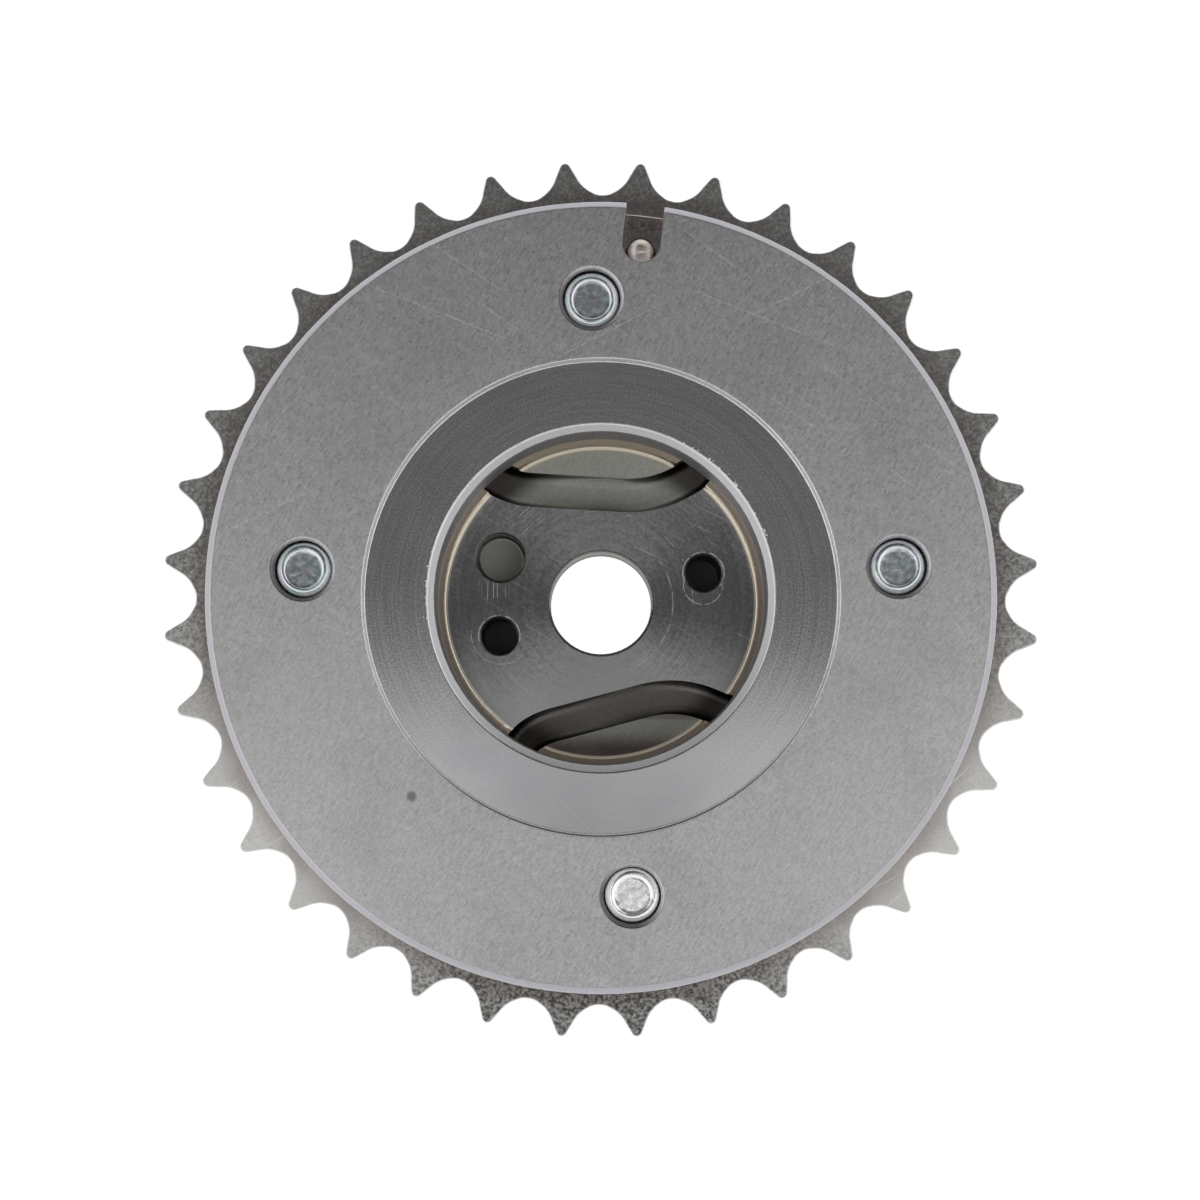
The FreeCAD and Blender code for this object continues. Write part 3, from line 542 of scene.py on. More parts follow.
class Surface:
    """A material in the making: its wiring, its shader and its place in mm."""

    def __init__(self, name: str, base: Colour, roughness: float, metallic: float) -> None:
        """Starts the material.

        Args:
            name: the material's name.
            base: the plain colour.
            roughness: the plain roughness.
            metallic: 1 for bare metal.
        """
        self.material = bpy.data.materials.new(name)
        self.material.use_nodes = True
        self.material.diffuse_color = (*base, 1.0)
        self.wiring = Wiring(self.material.node_tree)
        self.shader = self.material.node_tree.nodes["Principled BSDF"]
        self.shader.inputs["Base Color"].default_value = (*base, 1.0)
        self.shader.inputs["Roughness"].default_value = roughness
        self.shader.inputs["Metallic"].default_value = metallic
        place = self.wiring.add("ShaderNodeTexCoord").outputs["Object"]
        mapping = self.wiring.add("ShaderNodeMapping")
        self.wiring.feed(mapping.inputs["Vector"], place)
        mapping.inputs["Scale"].default_value = (1 / MM, 1 / MM, 1 / MM)
        self.place = mapping.outputs[0]

    def shifted(self, x: float, y: float) -> Socket:
        """Returns the place measured from another centre.

        Args:
            x: the centre's x in mm.
            y: the centre's y in mm.

        Returns:
            The shifted place's socket.
        """
        mapping = self.wiring.add("ShaderNodeMapping")
        self.wiring.feed(mapping.inputs["Vector"], self.place)
        mapping.inputs["Location"].default_value = (-x, -y, 0.0)
        return mapping.outputs[0]

    def stain(self, size: float, low: float, high: float) -> Socket:
        """Returns the mask of stains of one size in mm, between two noise values."""
        return self.wiring.effect(Effect.BLOTCHES, vector=self.place, size=size,
                                  low=low, high=high)

    def worn_edge(self) -> Socket:
        """Returns the mask of the worn edges."""
        return self.wiring.effect(Effect.EDGE_WEAR, vector=self.place)

    def turned_grain(self, strength: float) -> None:
        """Lets reflections spread outwards, across the grooves of a turned face.

        Args:
            strength: how much they spread, from 0 to 1.
        """
        w = self.wiring
        x, y, _ = w.parts(self.place)
        way = w.add("ShaderNodeVectorTransform", vector_type="VECTOR",
                    convert_from="OBJECT", convert_to="WORLD")
        w.feed(way.inputs[0], w.joined(x, y))
        outward = w.vector("NORMALIZE", way.outputs[0]).outputs[0]
        w.feed(self.shader.inputs["Tangent"], outward)
        self.shader.inputs["Anisotropic"].default_value = strength

    def finish(self, colour: Socket, roughness: Socket, height: Socket,
               depth: float) -> bpy.types.Material:
        """Joins the colour, the roughness and the relief to the shader.

        Args:
            colour: the colour's socket.
            roughness: the roughness's socket.
            height: the relief, from 0 to 1.
            depth: the relief's depth in mm.

        Returns:
            The finished material.
        """
        w = self.wiring
        w.feed(self.shader.inputs["Base Color"], colour)
        w.feed(self.shader.inputs["Roughness"], roughness)
        bump = w.add("ShaderNodeBump")
        bump.inputs["Distance"].default_value = depth * MM
        w.feed(bump.inputs["Height"], height)
        w.feed(self.shader.inputs["Normal"], bump.outputs[0])
        return self.material


@dataclass(frozen=True)
class ScratchSet:
    """One set of straight scratches, its angle in degrees and its sizes in mm."""

    angle: float
    width: float
    length: float
    spacing: float
    share: float
    seed: float

    def mask(self, w: Wiring, place: Socket) -> Socket:
        """Returns the scratches' mask at a place in mm."""
        return w.effect(Effect.SCRATCHES, vector=place, angle=math.radians(self.angle),
                        width=self.width, length=self.length, spacing=self.spacing,
                        share=self.share, seed=self.seed)


@dataclass(frozen=True)
class WearRing:
    """One circle worn into a face: its middle and sizes in mm, its side and depth."""

    x: float
    y: float
    radius: float
    width: float
    toward: Triple
    reach: float
    depth: float

    def mask(self, s: Surface) -> Socket:
        """Returns the ring's mask on a surface."""
        line = s.wiring.effect(Effect.RING_LINE, vector=s.shifted(self.x, self.y),
                               toward=self.toward, radius=self.radius, width=self.width,
                               reach=self.reach)
        return s.wiring.times(line, self.depth)


@dataclass(frozen=True)
class ScuffPatch:
    """A round patch of short scuffs, its middle and radius in mm."""

    x: float
    y: float
    radius: float
    angle: float
    seed: float
    core: float = 0.4
    depth: float = 0.75

    def mask(self, s: Surface) -> Socket:
        """Draws the patch.

        Args:
            s: the surface.

        Returns:
            The mask's socket.
        """
        w = s.wiring
        place = s.shifted(self.x, self.y)
        near = w.spread(w.reach(place), self.radius, self.radius * self.core)
        scuffs = ScratchSet(self.angle, 0.06, 3.0, 0.32, 0.6, self.seed)
        return w.times(scuffs.mask(w, place), w.times(near, self.depth))


# Finishes


@dataclass(frozen=True)
class GroundPlate:
    """Ground plate steel, cross-hatched by the belt and scratched by hand, with painted shade at
    its hole and notch chamfers.
    """

    base: Colour = (0.66, 0.655, 0.655)
    dark: Colour = (0.50, 0.49, 0.495)
    light: Colour = (0.80, 0.79, 0.80)
    bevel_tint: Colour = (0.41, 0.405, 0.44)
    # Dark colour of the painted shade at the hole mouths and notch, and of the dark spot.
    shade_and_spot: Colour = (0.12, 0.11, 0.11)
    wall: Colour = (0.43, 0.43, 0.435)
    face_z: float = 30.6
    rim_z: float = 29.5
    rim_radius: float = 41.0
    wall_z: float = 29.3
    wall_radius: float = 41.2
    hidden_z: float = 20.0
    belt_angle: float = 58.0
    spot: tuple[float, float] = (-19.9, -20.9)
    roughness: float = 0.30
    scratches: tuple[ScratchSet, ...] = (
        ScratchSet(-24.0, 0.07, 26.0, 3.2, 0.45, 1.0),
        ScratchSet(-38.0, 0.06, 14.0, 2.2, 0.4, 2.0),
        ScratchSet(22.0, 0.06, 20.0, 4.0, 0.4, 3.0),
    )

    def build(self) -> bpy.types.Material:
        """Wires the material.

        Returns:
            The material.
        """
        s = Surface("ground_plate_steel", self.base, self.roughness, 1.0)
        w = s.wiring
        z = w.parts(s.place)[2]
        radius = w.reach(s.place)
        face = w.spread(z, self.face_z, self.face_z + 0.2)
        rim = w.times(w.spread(radius, self.rim_radius - 0.1, self.rim_radius + 0.1),
                      w.spread(z, self.rim_z, self.rim_z + 0.3))
        belt = w.effect(Effect.BRUSHING, vector=s.place, angle=math.radians(self.belt_angle),
                        width=0.2, length=1.3)
        speckle = w.noise(s.place, 3.4, 2.0)
        hatch = w.math("MULTIPLY_ADD", speckle, 0.55, w.times(belt, 0.45))
        marks = self.marks(s, face)
        colour = w.blend(self.side(w, z, radius), self.base, self.wall)
        colour = w.blend(w.times(s.stain(9.0, 0.42, 0.75), 0.3), colour, self.dark)
        colour = w.tinted(colour, w.swing(hatch, 0.86, 1.14))
        colour = w.blend(w.times(rim, 0.9), colour, self.bevel_tint)
        edge = w.times(s.worn_edge(),
                       w.spread(radius, self.rim_radius, self.rim_radius + 0.5, 0.1, 0.6))
        light = w.math("MAXIMUM", marks, edge)
        colour = w.blend(w.times(light, 0.65), colour, self.light)
        # Painted shade on the hole and notch chamfers, read from the mesh's shaded_side mark.
        colour = w.blend(w.painted(SHADE_MASK), colour, self.shade_and_spot)
        # A dark round spot on the face.
        spot = w.times(w.spread(w.reach(s.shifted(*self.spot)), 0.75, 0.25), face)
        colour = w.blend(w.times(spot, 0.7), colour, self.shade_and_spot)
        rough = w.swing(hatch, self.roughness - 0.03, self.roughness + 0.03)
        rough = w.math("MULTIPLY_ADD", marks, 0.25, rough)
        return s.finish(colour, rough, belt, 0.0006)

    def side(self, w: Wiring, z: Socket, radius: Socket) -> Socket:
        """Returns the mask of the outer walls and of the side under the bolt heads."""
        wall = w.times(w.spread(z, self.wall_z, self.wall_z - 0.3),
                       w.spread(radius, self.wall_radius, self.wall_radius + 0.2))
        return w.math("MAXIMUM", wall, w.spread(z, self.hidden_z, self.hidden_z - 1.0))

    def marks(self, s: Surface, face: Socket) -> Socket:
        """Draws the handling scratches.

        Args:
            s: the surface.
            face: 1 on the ground outer face.

        Returns:
            The mask's socket.
        """
        w = s.wiring
        mask = w.most([plan.mask(w, s.place) for plan in self.scratches])
        return w.times(mask, w.math("MULTIPLY_ADD", face, 0.32, 0.2))


@dataclass(frozen=True)
class TurnedSeat:
    """The plate's turned seat, bore and chamfer, smooth and faintly ringed."""

    base: Colour = (0.56, 0.555, 0.57)
    dark: Colour = (0.42, 0.41, 0.43)
    light: Colour = (0.78, 0.77, 0.79)
    lip: Colour = (0.50, 0.495, 0.505)
    bore: Colour = (0.33, 0.32, 0.33)
    foot: Colour = (0.62, 0.57, 0.50)
    lip_radius: float = 18.45
    lip_z: float = 30.18
    bore_z: float = 29.75
    burr_z: float = 30.0
    foot_z: float = 23.3
    right_burrs: Triple = (0.72, 0.69, 0.0)
    left_burrs: Triple = (-0.99, 0.12, 0.0)
    roughness: float = 0.13
    scratches: tuple[ScratchSet, ...] = (
        ScratchSet(25.0, 0.06, 7.0, 2.2, 0.3, 21.0),
        ScratchSet(-50.0, 0.06, 7.0, 2.2, 0.3, 22.0),
        ScratchSet(80.0, 0.06, 7.0, 2.2, 0.3, 23.0),
    )

    def build(self) -> bpy.types.Material:
        """Wires the material.

        Returns:
            The material.
        """
        s = Surface("turned_seat_steel", self.base, self.roughness, 1.0)
        s.turned_grain(0.5)
        w = s.wiring
        z = w.parts(s.place)[2]
        rings = w.effect(Effect.TURNING, vector=s.place, pitch=0.16)
        speck = w.noise(s.place, 5.0, 1.0)
        rings = w.math("MULTIPLY_ADD", rings, 0.35, w.times(speck, 0.65))
        colour = w.blend(w.times(s.stain(8.0, 0.42, 0.75), 0.35), self.base, self.dark)
        colour = w.blend(w.spread(z, self.bore_z, self.bore_z - 0.15), colour, self.bore)
        colour = w.tinted(colour, w.swing(rings, 0.84, 1.16))
        lip = w.times(w.spread(z, self.lip_z, self.lip_z - 0.06), w.spread(z, 29.72, 29.8))
        colour = w.blend(lip, colour, self.lip)
        colour = w.blend(w.spread(z, self.foot_z, self.foot_z - 0.1), colour, self.foot)
        burrs = self.burrs(s)
        masks = [w.math("MAXIMUM", w.times(s.worn_edge(), 0.5), burrs)]
        masks += [w.times(plan.mask(w, s.place), 0.3) for plan in self.scratches]
        colour = w.blend(w.most(masks), colour, self.light)
        rough = w.math("ADD", w.swing(rings, -0.02, 0.03), self.roughness)
        rough = w.math("ADD", rough, w.spread(z, self.lip_z, self.lip_z - 0.1, 0.0, 0.3))
        rough = w.math("MULTIPLY_ADD", burrs, 0.6, rough)
        return s.finish(colour, rough, rings, 0.0015)

    def burrs(self, s: Surface) -> Socket:
        """Draws the small burrs along the bore's lip.

        Args:
            s: the surface.

        Returns:
            The mask's socket.
        """
        w = s.wiring
        radius = w.reach(s.place)
        reach = w.spread(w.noise(s.place, 2.6, 2.0), 0.5, 0.75, 0.0, 0.45)
        out = w.math("SUBTRACT", radius, w.math("ADD", reach, self.lip_radius))
        mask = w.times(w.spread(out, 0.02, -0.04), w.spread(reach, 0.02, 0.12),
                       w.spread(radius, self.lip_radius, self.lip_radius + 0.03))
        right = w.spread(w.facing(s.place, self.right_burrs), 0.86, 0.93)
        left = w.spread(w.facing(s.place, self.left_burrs), 0.95, 0.98)
        side = w.math("MAXIMUM", right, left)
        return w.times(mask, side, w.spread(w.parts(s.place)[2], self.burr_z, self.burr_z + 0.1))


@dataclass(frozen=True)
class SinteredSteel:
    """Pressed and sintered sprocket steel, with painted brown shade next to the plate."""

    base: Colour = (0.66, 0.65, 0.63)
    wall: Colour = (0.44, 0.43, 0.415)
    # Brown of the pits, and of the painted shade next to the plate's edge.
    pit_and_shade_brown: Colour = (0.32, 0.28, 0.26)
    light: Colour = (0.74, 0.73, 0.72)
    plate_shade_radius: float = 42.0
    shade_fade_radius: float = 45.6
    tooth_z: float = 26.2
    roughness: float = 0.16
    scratches: ScratchSet = ScratchSet(35.0, 0.09, 5.0, 2.4, 0.22, 8.0)

    def build(self) -> bpy.types.Material:
        """Wires the material.

        Returns:
            The material.
        """
        s = Surface("sintered_sprocket_steel", self.base, self.roughness, 1.0)
        w = s.wiring
        pits = w.effect(Effect.PORES, vector=s.place, size=0.32, share=0.4)
        grain = w.noise(s.place, 3.0, 2.0)
        # Painted brown shade on the sprocket next to the plate's edge, its edge broken by stain
        # noise.
        out = w.math("MULTIPLY_ADD", s.stain(6.0, 0.4, 0.7), 0.8, w.reach(s.place))
        near = w.spread(out, self.shade_fade_radius, self.plate_shade_radius)
        top = w.spread(w.parts(s.place)[2], self.tooth_z - 0.3, self.tooth_z)
        colour = w.blend(top, self.wall, self.base)
        colour = w.blend(w.times(near, 0.75), colour, self.pit_and_shade_brown)
        colour = w.tinted(colour, w.swing(grain, 0.88, 1.12))
        colour = w.blend(w.times(pits, 0.3), colour, self.pit_and_shade_brown)
        marks = self.scratches.mask(w, s.place)
        light = w.math("MAXIMUM", w.times(s.worn_edge(), 0.55), w.times(marks, 0.7))
        light = w.times(light, top)
        colour = w.blend(light, colour, self.light)
        rough = w.math("ADD", w.swing(grain, -0.05, 0.07), self.roughness)
        rough = w.math("MULTIPLY_ADD", light, -0.12, rough)
        return s.finish(colour, rough, grain, 0.0012)


@dataclass(frozen=True)
class GrooveEdge:
    """The straight inner edge of one oil groove: its line and its right end, in mm."""

    side: str
    slope: float
    height: float
    end: float

    def mask(self, w: Wiring, x: Socket, y: Socket) -> Socket:
        """Returns the mask of what lies beyond the edge, at a place's x and y."""
        beyond = w.math(self.side, y, w.math("MULTIPLY_ADD", x, self.slope, self.height))
        return w.times(beyond, w.math("LESS_THAN", x, self.end))


@dataclass(frozen=True)
class RotorSteel:
    """The rotor: a machined face over grooves left as they were sintered."""

    base: Colour = (0.34, 0.34, 0.345)
    groove: Colour = (0.47, 0.47, 0.43)
    # The groove and land colours below are painted shade, darker towards -y.
    shaded_groove: Colour = (0.29, 0.275, 0.255)
    shaded_land: Colour = (0.17, 0.145, 0.13)
    cloud: Colour = (0.5, 0.5, 0.49)
    # Colour of the painted shade deep in the grooves and holes.
    deep_shade: Colour = (0.10, 0.095, 0.095)
    # Painted shade colour of the groove ends and of the walls facing +y.
    groove_shade: Colour = (0.06, 0.055, 0.05)
    rim: Colour = (0.42, 0.36, 0.29)
    # Colour of the painted highlight along the recess's inner corner.
    cove: Colour = (0.92, 0.85, 0.72)
    light: Colour = (0.72, 0.71, 0.69)
    roughness: float = 0.14
    face_z: float = 20.2
    floor_z: float = 17.4
    hole_z: float = 16.3
    recess_radius: float = 17.1
    groove_end: tuple[float, float] = (13.8, 16.4)
    upper_edge: GrooveEdge = GrooveEdge("GREATER_THAN", -0.06, 12.1, 9.4)
    lower_edge: GrooveEdge = GrooveEdge("LESS_THAN", 0.266, -11.97, 11.3)
    scratches: ScratchSet = ScratchSet(-30.0, 0.06, 5.0, 1.1, 0.35, 12.0)
    rings: tuple[WearRing, ...] = (
        WearRing(0.0, 0.0, 7.9, 0.09, (1.0, -0.6, 0.0), 0.35, 0.45),
        WearRing(0.0, 0.0, 10.1, 0.08, (0.7, 0.9, 0.0), 0.55, 0.45),
        WearRing(11.2, 2.0, 2.15, 0.08, (0.0, -1.0, 0.0), -0.5, 0.7),
        WearRing(-10.9, -3.4, 3.3, 0.08, (-0.6, -1.0, 0.0), 0.3, 0.5),
        WearRing(11.25, 3.31, 2.26, 0.12, (0.1, 1.0, 0.0), -0.6, 0.75),
        WearRing(-11.16, -3.62, 2.26, 0.12, (0.0, 1.0, 0.0), -0.3, 0.75),
    )
    patches: tuple[ScuffPatch, ...] = (
        ScuffPatch(-8.4, 9.3, 2.6, 42.0, 14.0),
        ScuffPatch(-11.9, 1.6, 2.2, 88.0, 15.0),
        ScuffPatch(7.6, -6.6, 2.4, 58.0, 16.0),
    )

    def build(self) -> bpy.types.Material:
        """Wires the material.

        Returns:
            The material.
        """
        s = Surface("machined_rotor_steel", self.base, self.roughness, 1.0)
        s.turned_grain(0.9)
        w = s.wiring
        x, y, z = w.parts(s.place)
        radius = w.reach(s.place)
        raised = w.spread(z, self.face_z, self.face_z + 0.15)
        grooved = w.math("ADD", self.upper_edge.mask(w, x, y), self.lower_edge.mask(w, x, y))
        cut = w.math("SUBTRACT", raised, grooved, clamp=True)
        rings = w.effect(Effect.TURNING, vector=s.place, pitch=0.25)
        grain = w.noise(s.place, 3.2, 2.0)
        relief = w.math("MULTIPLY_ADD", w.math("SUBTRACT", rings, grain),
                        w.times(cut, 0.35), grain)
        colour = w.blend(cut, self.cast_colour_and_shade(w, y, raised), self.base)
        colour = w.blend(w.times(s.stain(5.0, 0.4, 0.72), 0.16), colour, self.cloud)
        colour = w.tinted(colour, w.swing(relief, 0.9, 1.1))
        # Painted light and shade: the face lighter above and below, darker left and right,
        # standing in for its turned reflection.
        painted_light_fan = w.math("SUBTRACT", w.math("ABSOLUTE", y), w.math("ABSOLUTE", x))
        painted_light_fan = w.spread(w.math("DIVIDE", painted_light_fan, radius), -0.9, 0.9, 0.8, 1.4)
        colour = w.blend(cut, colour, w.even(painted_light_fan), "MULTIPLY")
        colour = w.blend(w.spread(radius, self.recess_radius - 0.06, self.recess_radius),
                         colour, self.rim)
        # Painted shade at the groove ends and on the marked walls facing +y.
        sunk = w.spread(z, self.face_z, self.face_z - 0.3)
        end = w.times(sunk, w.spread(radius, *self.groove_end))
        groove_shade = w.math("MAXIMUM", w.times(end, 0.9), w.painted(SHADE_MASK))
        colour = w.blend(groove_shade, colour, self.groove_shade)
        light = w.times(self.marks(s), cut)
        colour = w.blend(w.math("MAXIMUM", light, w.times(s.worn_edge(), 0.5)),
                         colour, self.light)
        # Painted highlight along the recess's inner corner.
        colour = w.blend(self.corner(w, z, radius), colour, self.cove)
        rough = w.math("ADD", w.spread(cut, 0.0, 1.0, 0.5, self.roughness),
                       w.swing(relief, -0.03, 0.03))
        rough = w.math("MULTIPLY_ADD", light, 0.5, rough)
        # Painted shade deep in the grooves and in the holes.
        low = w.times(w.spread(z, self.floor_z, self.floor_z - 0.4), 0.35)
        colour = w.blend(low, colour, self.deep_shade)
        colour = w.blend(w.spread(z, self.hole_z, self.hole_z - 1.8), colour, self.deep_shade)
        return s.finish(colour, rough, relief, 0.0007)

    def cast_colour_and_shade(self, w: Wiring, y: Socket, raised: Socket) -> Socket:
        """Colours the grooves and the lands behind them, with painted shade darker towards -y.

        Args:
            w: the material's wiring.
            y: the place's y.
            raised: 1 at the height of the face.

        Returns:
            The colour's socket.
        """
        # Painted shade: the grooves and the land behind them darken towards -y.
        grooves = w.blend(w.spread(y, -9.0, 12.0), self.shaded_groove, self.groove)
        lower = w.times(raised, w.spread(y, -12.5, -13.0))
        land = w.blend(w.spread(y, -13.8, -16.2), self.groove, self.shaded_land)
        return w.blend(lower, grooves, land)

    def corner(self, w: Wiring, z: Socket, radius: Socket) -> Socket:
        """Returns the mask of the painted highlight line in the recess's inner corner."""
        return w.times(w.spread(radius, 16.7, 16.85), w.spread(radius, 17.12, 17.09),
                       w.spread(z, 20.9, 20.7), w.spread(z, 20.3, 20.4))

    def marks(self, s: Surface) -> Socket:
        """Draws the wear rings, scratches and scuffs on the face.

        Args:
            s: the surface.

        Returns:
            The mask's socket.
        """
        w = s.wiring
        masks = [ring.mask(s) for ring in self.rings]
        masks.append(w.times(self.scratches.mask(w, s.place), 0.3))
        masks += [patch.mask(s) for patch in self.patches]
        return w.most(masks)


@dataclass(frozen=True)
class ZincBolt:
    """Bright zinc plating with a faint blue and green bloom."""

    base: Colour = (0.72, 0.74, 0.77)
    bloom: Colour = (0.60, 0.70, 0.69)
    blush: Colour = (0.66, 0.62, 0.72)
    edge: Colour = (0.85, 0.86, 0.88)
    # Near-white colour of the painted glare on the end of the bolt at -y.
    lit: Colour = (0.97, 0.98, 0.98)
    head: Colour = (0.42, 0.44, 0.46)
    lit_y: float = -24.0
    end_z: float = 20.0
    head_z: float = 8.0
    roughness: float = 0.18

    def build(self) -> bpy.types.Material:
        """Wires the material.

        Returns:
            The material.
        """
        s = Surface("zinc_plated_bolt", self.base, self.roughness, 1.0)
        w = s.wiring
        blush = w.effect(Effect.BLOTCHES, vector=s.shifted(30.0, 20.0), size=1.4,
                         low=0.5, high=0.7)
        dents = w.noise(s.place, 1.5, 3.0)
        colour = w.blend(s.stain(1.1, 0.4, 0.65), self.base, self.bloom)
        colour = w.blend(w.times(blush, 0.6), colour, self.blush)
        colour = w.blend(w.times(s.worn_edge(), 0.5), colour, self.edge)
        _, y, z = w.parts(s.place)
        # Painted highlight: the end of the bolt at -y is painted near white.
        lit = w.times(w.spread(y, self.lit_y, self.lit_y - 2.0),
                      w.spread(z, self.end_z, self.end_z + 2.0))
        colour = w.blend(lit, colour, self.lit)
        colour = w.blend(w.spread(z, self.head_z, self.head_z - 2.0, 0.0, 0.75), colour,
                         self.head)
        rough = w.swing(dents, self.roughness - 0.06, self.roughness + 0.1)
        return s.finish(colour, rough, dents, 0.015)


@dataclass(frozen=True)
class PinSteel:
    """Hardened pin steel, straw and pink from its heat."""

    base: Colour = (0.93, 0.85, 0.82)
    straw: Colour = (0.96, 0.88, 0.72)
    edge: Colour = (0.86, 0.84, 0.8)
    roughness: float = 0.28

    def build(self) -> bpy.types.Material:
        """Wires the material.

        Returns:
            The material.
        """
        s = Surface("hardened_pin_steel", self.base, self.roughness, 1.0)
        w = s.wiring
        rings = w.effect(Effect.TURNING, vector=s.place, pitch=0.1)
        colour = w.blend(w.times(s.stain(2.2, 0.4, 0.65), 0.7), self.base, self.straw)
        colour = w.tinted(colour, w.swing(rings, 0.92, 1.08))
        colour = w.blend(w.times(s.worn_edge(), 0.5), colour, self.edge)
        rough = w.swing(rings, self.roughness - 0.05, self.roughness + 0.06)
        return s.finish(colour, rough, rings, 0.003)


@dataclass(frozen=True)
class SpringSteel:
    """Bright drawn spring steel."""

    base: Colour = (0.55, 0.55, 0.56)
    film: Colour = (0.36, 0.33, 0.29)
    roughness: float = 0.25

    def build(self) -> bpy.types.Material:
        """Wires the material.

        Returns:
            The material.
        """
        s = Surface("drawn_spring_steel", self.base, self.roughness, 1.0)
        w = s.wiring
        grain = w.noise(s.place, 6.0, 3.0)
        colour = w.blend(w.times(s.stain(1.5, 0.45, 0.7), 0.5), self.base, self.film)
        rough = w.swing(grain, self.roughness - 0.05, self.roughness + 0.12)
        return s.finish(colour, rough, grain, 0.003)


@dataclass(frozen=True)
class SealPolymer:
    """The dark wear-resistant polymer of the seal strips."""

    base: Colour = (0.11, 0.10, 0.09)
    grain: Colour = (0.16, 0.145, 0.125)
    rubbed: Colour = (0.26, 0.24, 0.21)
    roughness: float = 0.5

    def build(self) -> bpy.types.Material:
        """Wires the material.

        Returns:
            The material.
        """
        s = Surface("seal_polymer", self.base, self.roughness, 0.0)
        w = s.wiring
        grain = w.noise(s.place, 5.0, 4.0)
        colour = w.blend(w.spread(grain, 0.35, 0.7), self.base, self.grain)
        colour = w.blend(w.times(s.worn_edge(), 0.6), colour, self.rubbed)
        rough = w.swing(grain, self.roughness - 0.08, self.roughness + 0.1)
        return s.finish(colour, rough, grain, 0.01)


# Mesh helpers


def new_piece(name: str, mesh: bmesh.types.BMesh, body: Body,
              material: bpy.types.Material) -> bpy.types.Object:
    """Makes an object of a finished mesh and lets it ride on its body.

    Args:
        name: the piece's name.
        mesh: the finished mesh, in metres, in place.
        body: the body that it rides on.
        material: its finish.

    Returns:
        The new object.
    """
    bmesh.ops.recalc_face_normals(mesh, faces=mesh.faces)
    data = bpy.data.meshes.new(name)
    mesh.to_mesh(data)
    mesh.free()
    data.materials.append(material)
    piece = bpy.data.objects.new(name, data)
    bpy.context.scene.collection.objects.link(piece)
    data.shade_smooth()
    data.set_sharp_from_angle(angle=SMOOTH_ANGLE)
    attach(piece, body.value)
    LOG.info("%s: %d faces on %s", name, len(data.polygons), body.value)
    return piece


@dataclass(frozen=True)
class Cove:
    """A rounding in the inner corners at one height, in mm."""

    height: float
    width: float
    segments: int


@dataclass(frozen=True)
class Rounding:
    """How one CAD node's edges are rounded, in mm and degrees.

    The shaded walls lie between two heights, and the mouths are the holes' places.
    """

    node: str
    width: float
    body: Body
    slot: str
    merge: float = 0.001
    sharp_angle: float = 32.0
    coves: tuple[Cove, ...] = ()
    shaded: tuple[float, float] = (0.0, 0.0)
    mouths: tuple[tuple[float, float], ...] = ()
    toothed: bool = False
    convex_only: bool = False


def bevelled(mesh: bmesh.types.BMesh, edges: list[bmesh.types.BMEdge], width: float,
             segments: int, clamp: bool = False) -> list[bmesh.types.BMFace]:
    """Bevels some edges of a mesh.

    Args:
        mesh: the mesh.
        edges: the edges.
        width: the bevel's width.
        segments: how many strips it has.
        clamp: True to stop where bevels would meet.

    Returns:
        The new faces.
    """
    made = bmesh.ops.bevel(mesh, geom=edges, offset=width, offset_type="OFFSET",
                           affect="EDGES", segments=segments, profile=0.5,
                           clamp_overlap=clamp, material=-1)
    return made["faces"]


def shade_side(mesh: bmesh.types.BMesh, low: float, high: float) -> None:
    """Marks painted shade on the walls of the recess and grooves that face +y, between two
    heights.

    Args:
        mesh: the mesh, in mm.
        low: the height where the mark starts.
        high: the height where it is full.
    """
    mark = mesh.verts.layers.float.new(SHADE_MASK)
    mesh.normal_update()
    for vert in mesh.verts:
        if low < vert.co.z < high + SHADE_REACH and vert.normal.y > SHADE_FACING:
            vert[mark] = min(1.0, (vert.co.z - low) / (high - low))


@dataclass(frozen=True)
class PlateMouths:
    """Painted shade on the chamfers of the plate's holes and notch, in mm."""

    reach: float = 3.6
    low_z: float = 29.0
    face_area: float = 3.0
    away: tuple[float, float] = (-0.7, -0.7)
    level: float = 0.6
    least: float = 0.35
    most: float = 0.95
    notch_left: float = 1.9
    notch_right: float = 7.3
    notch_foot: float = 33.5
    notch_radius: float = 40.8
    notch_level: float = 0.75

    def shade(self, mesh: bmesh.types.BMesh,
              middles: tuple[tuple[float, float], ...]) -> None:
        """Marks painted shade on the chamfers, most on the side of each hole away from the light.

        Args:
            mesh: the mesh, in mm.
            middles: the x and y of each hole.
        """
        mark = mesh.faces.layers.float.new(SHADE_MASK)
        away = Vector(self.away)
        for face in mesh.faces:
            middle = face.calc_center_median()
            if middle.z <= self.low_z or face.calc_area() >= self.face_area:
                continue
            for x, y in middles:
                off = middle.xy - Vector((x, y))
                if off.length < self.reach:
                    turned = off.normalized().dot(away)
                    face[mark] = min(self.most, max(self.least, self.level + turned * self.level))
            if self.in_notch(middle):
                face[mark] = self.notch_level

    def in_notch(self, middle: Vector) -> bool:
        """Says whether a face's middle lies in the notch."""
        return (self.notch_left < middle.x < self.notch_right
                and middle.y > self.notch_foot and middle.xy.length < self.notch_radius)


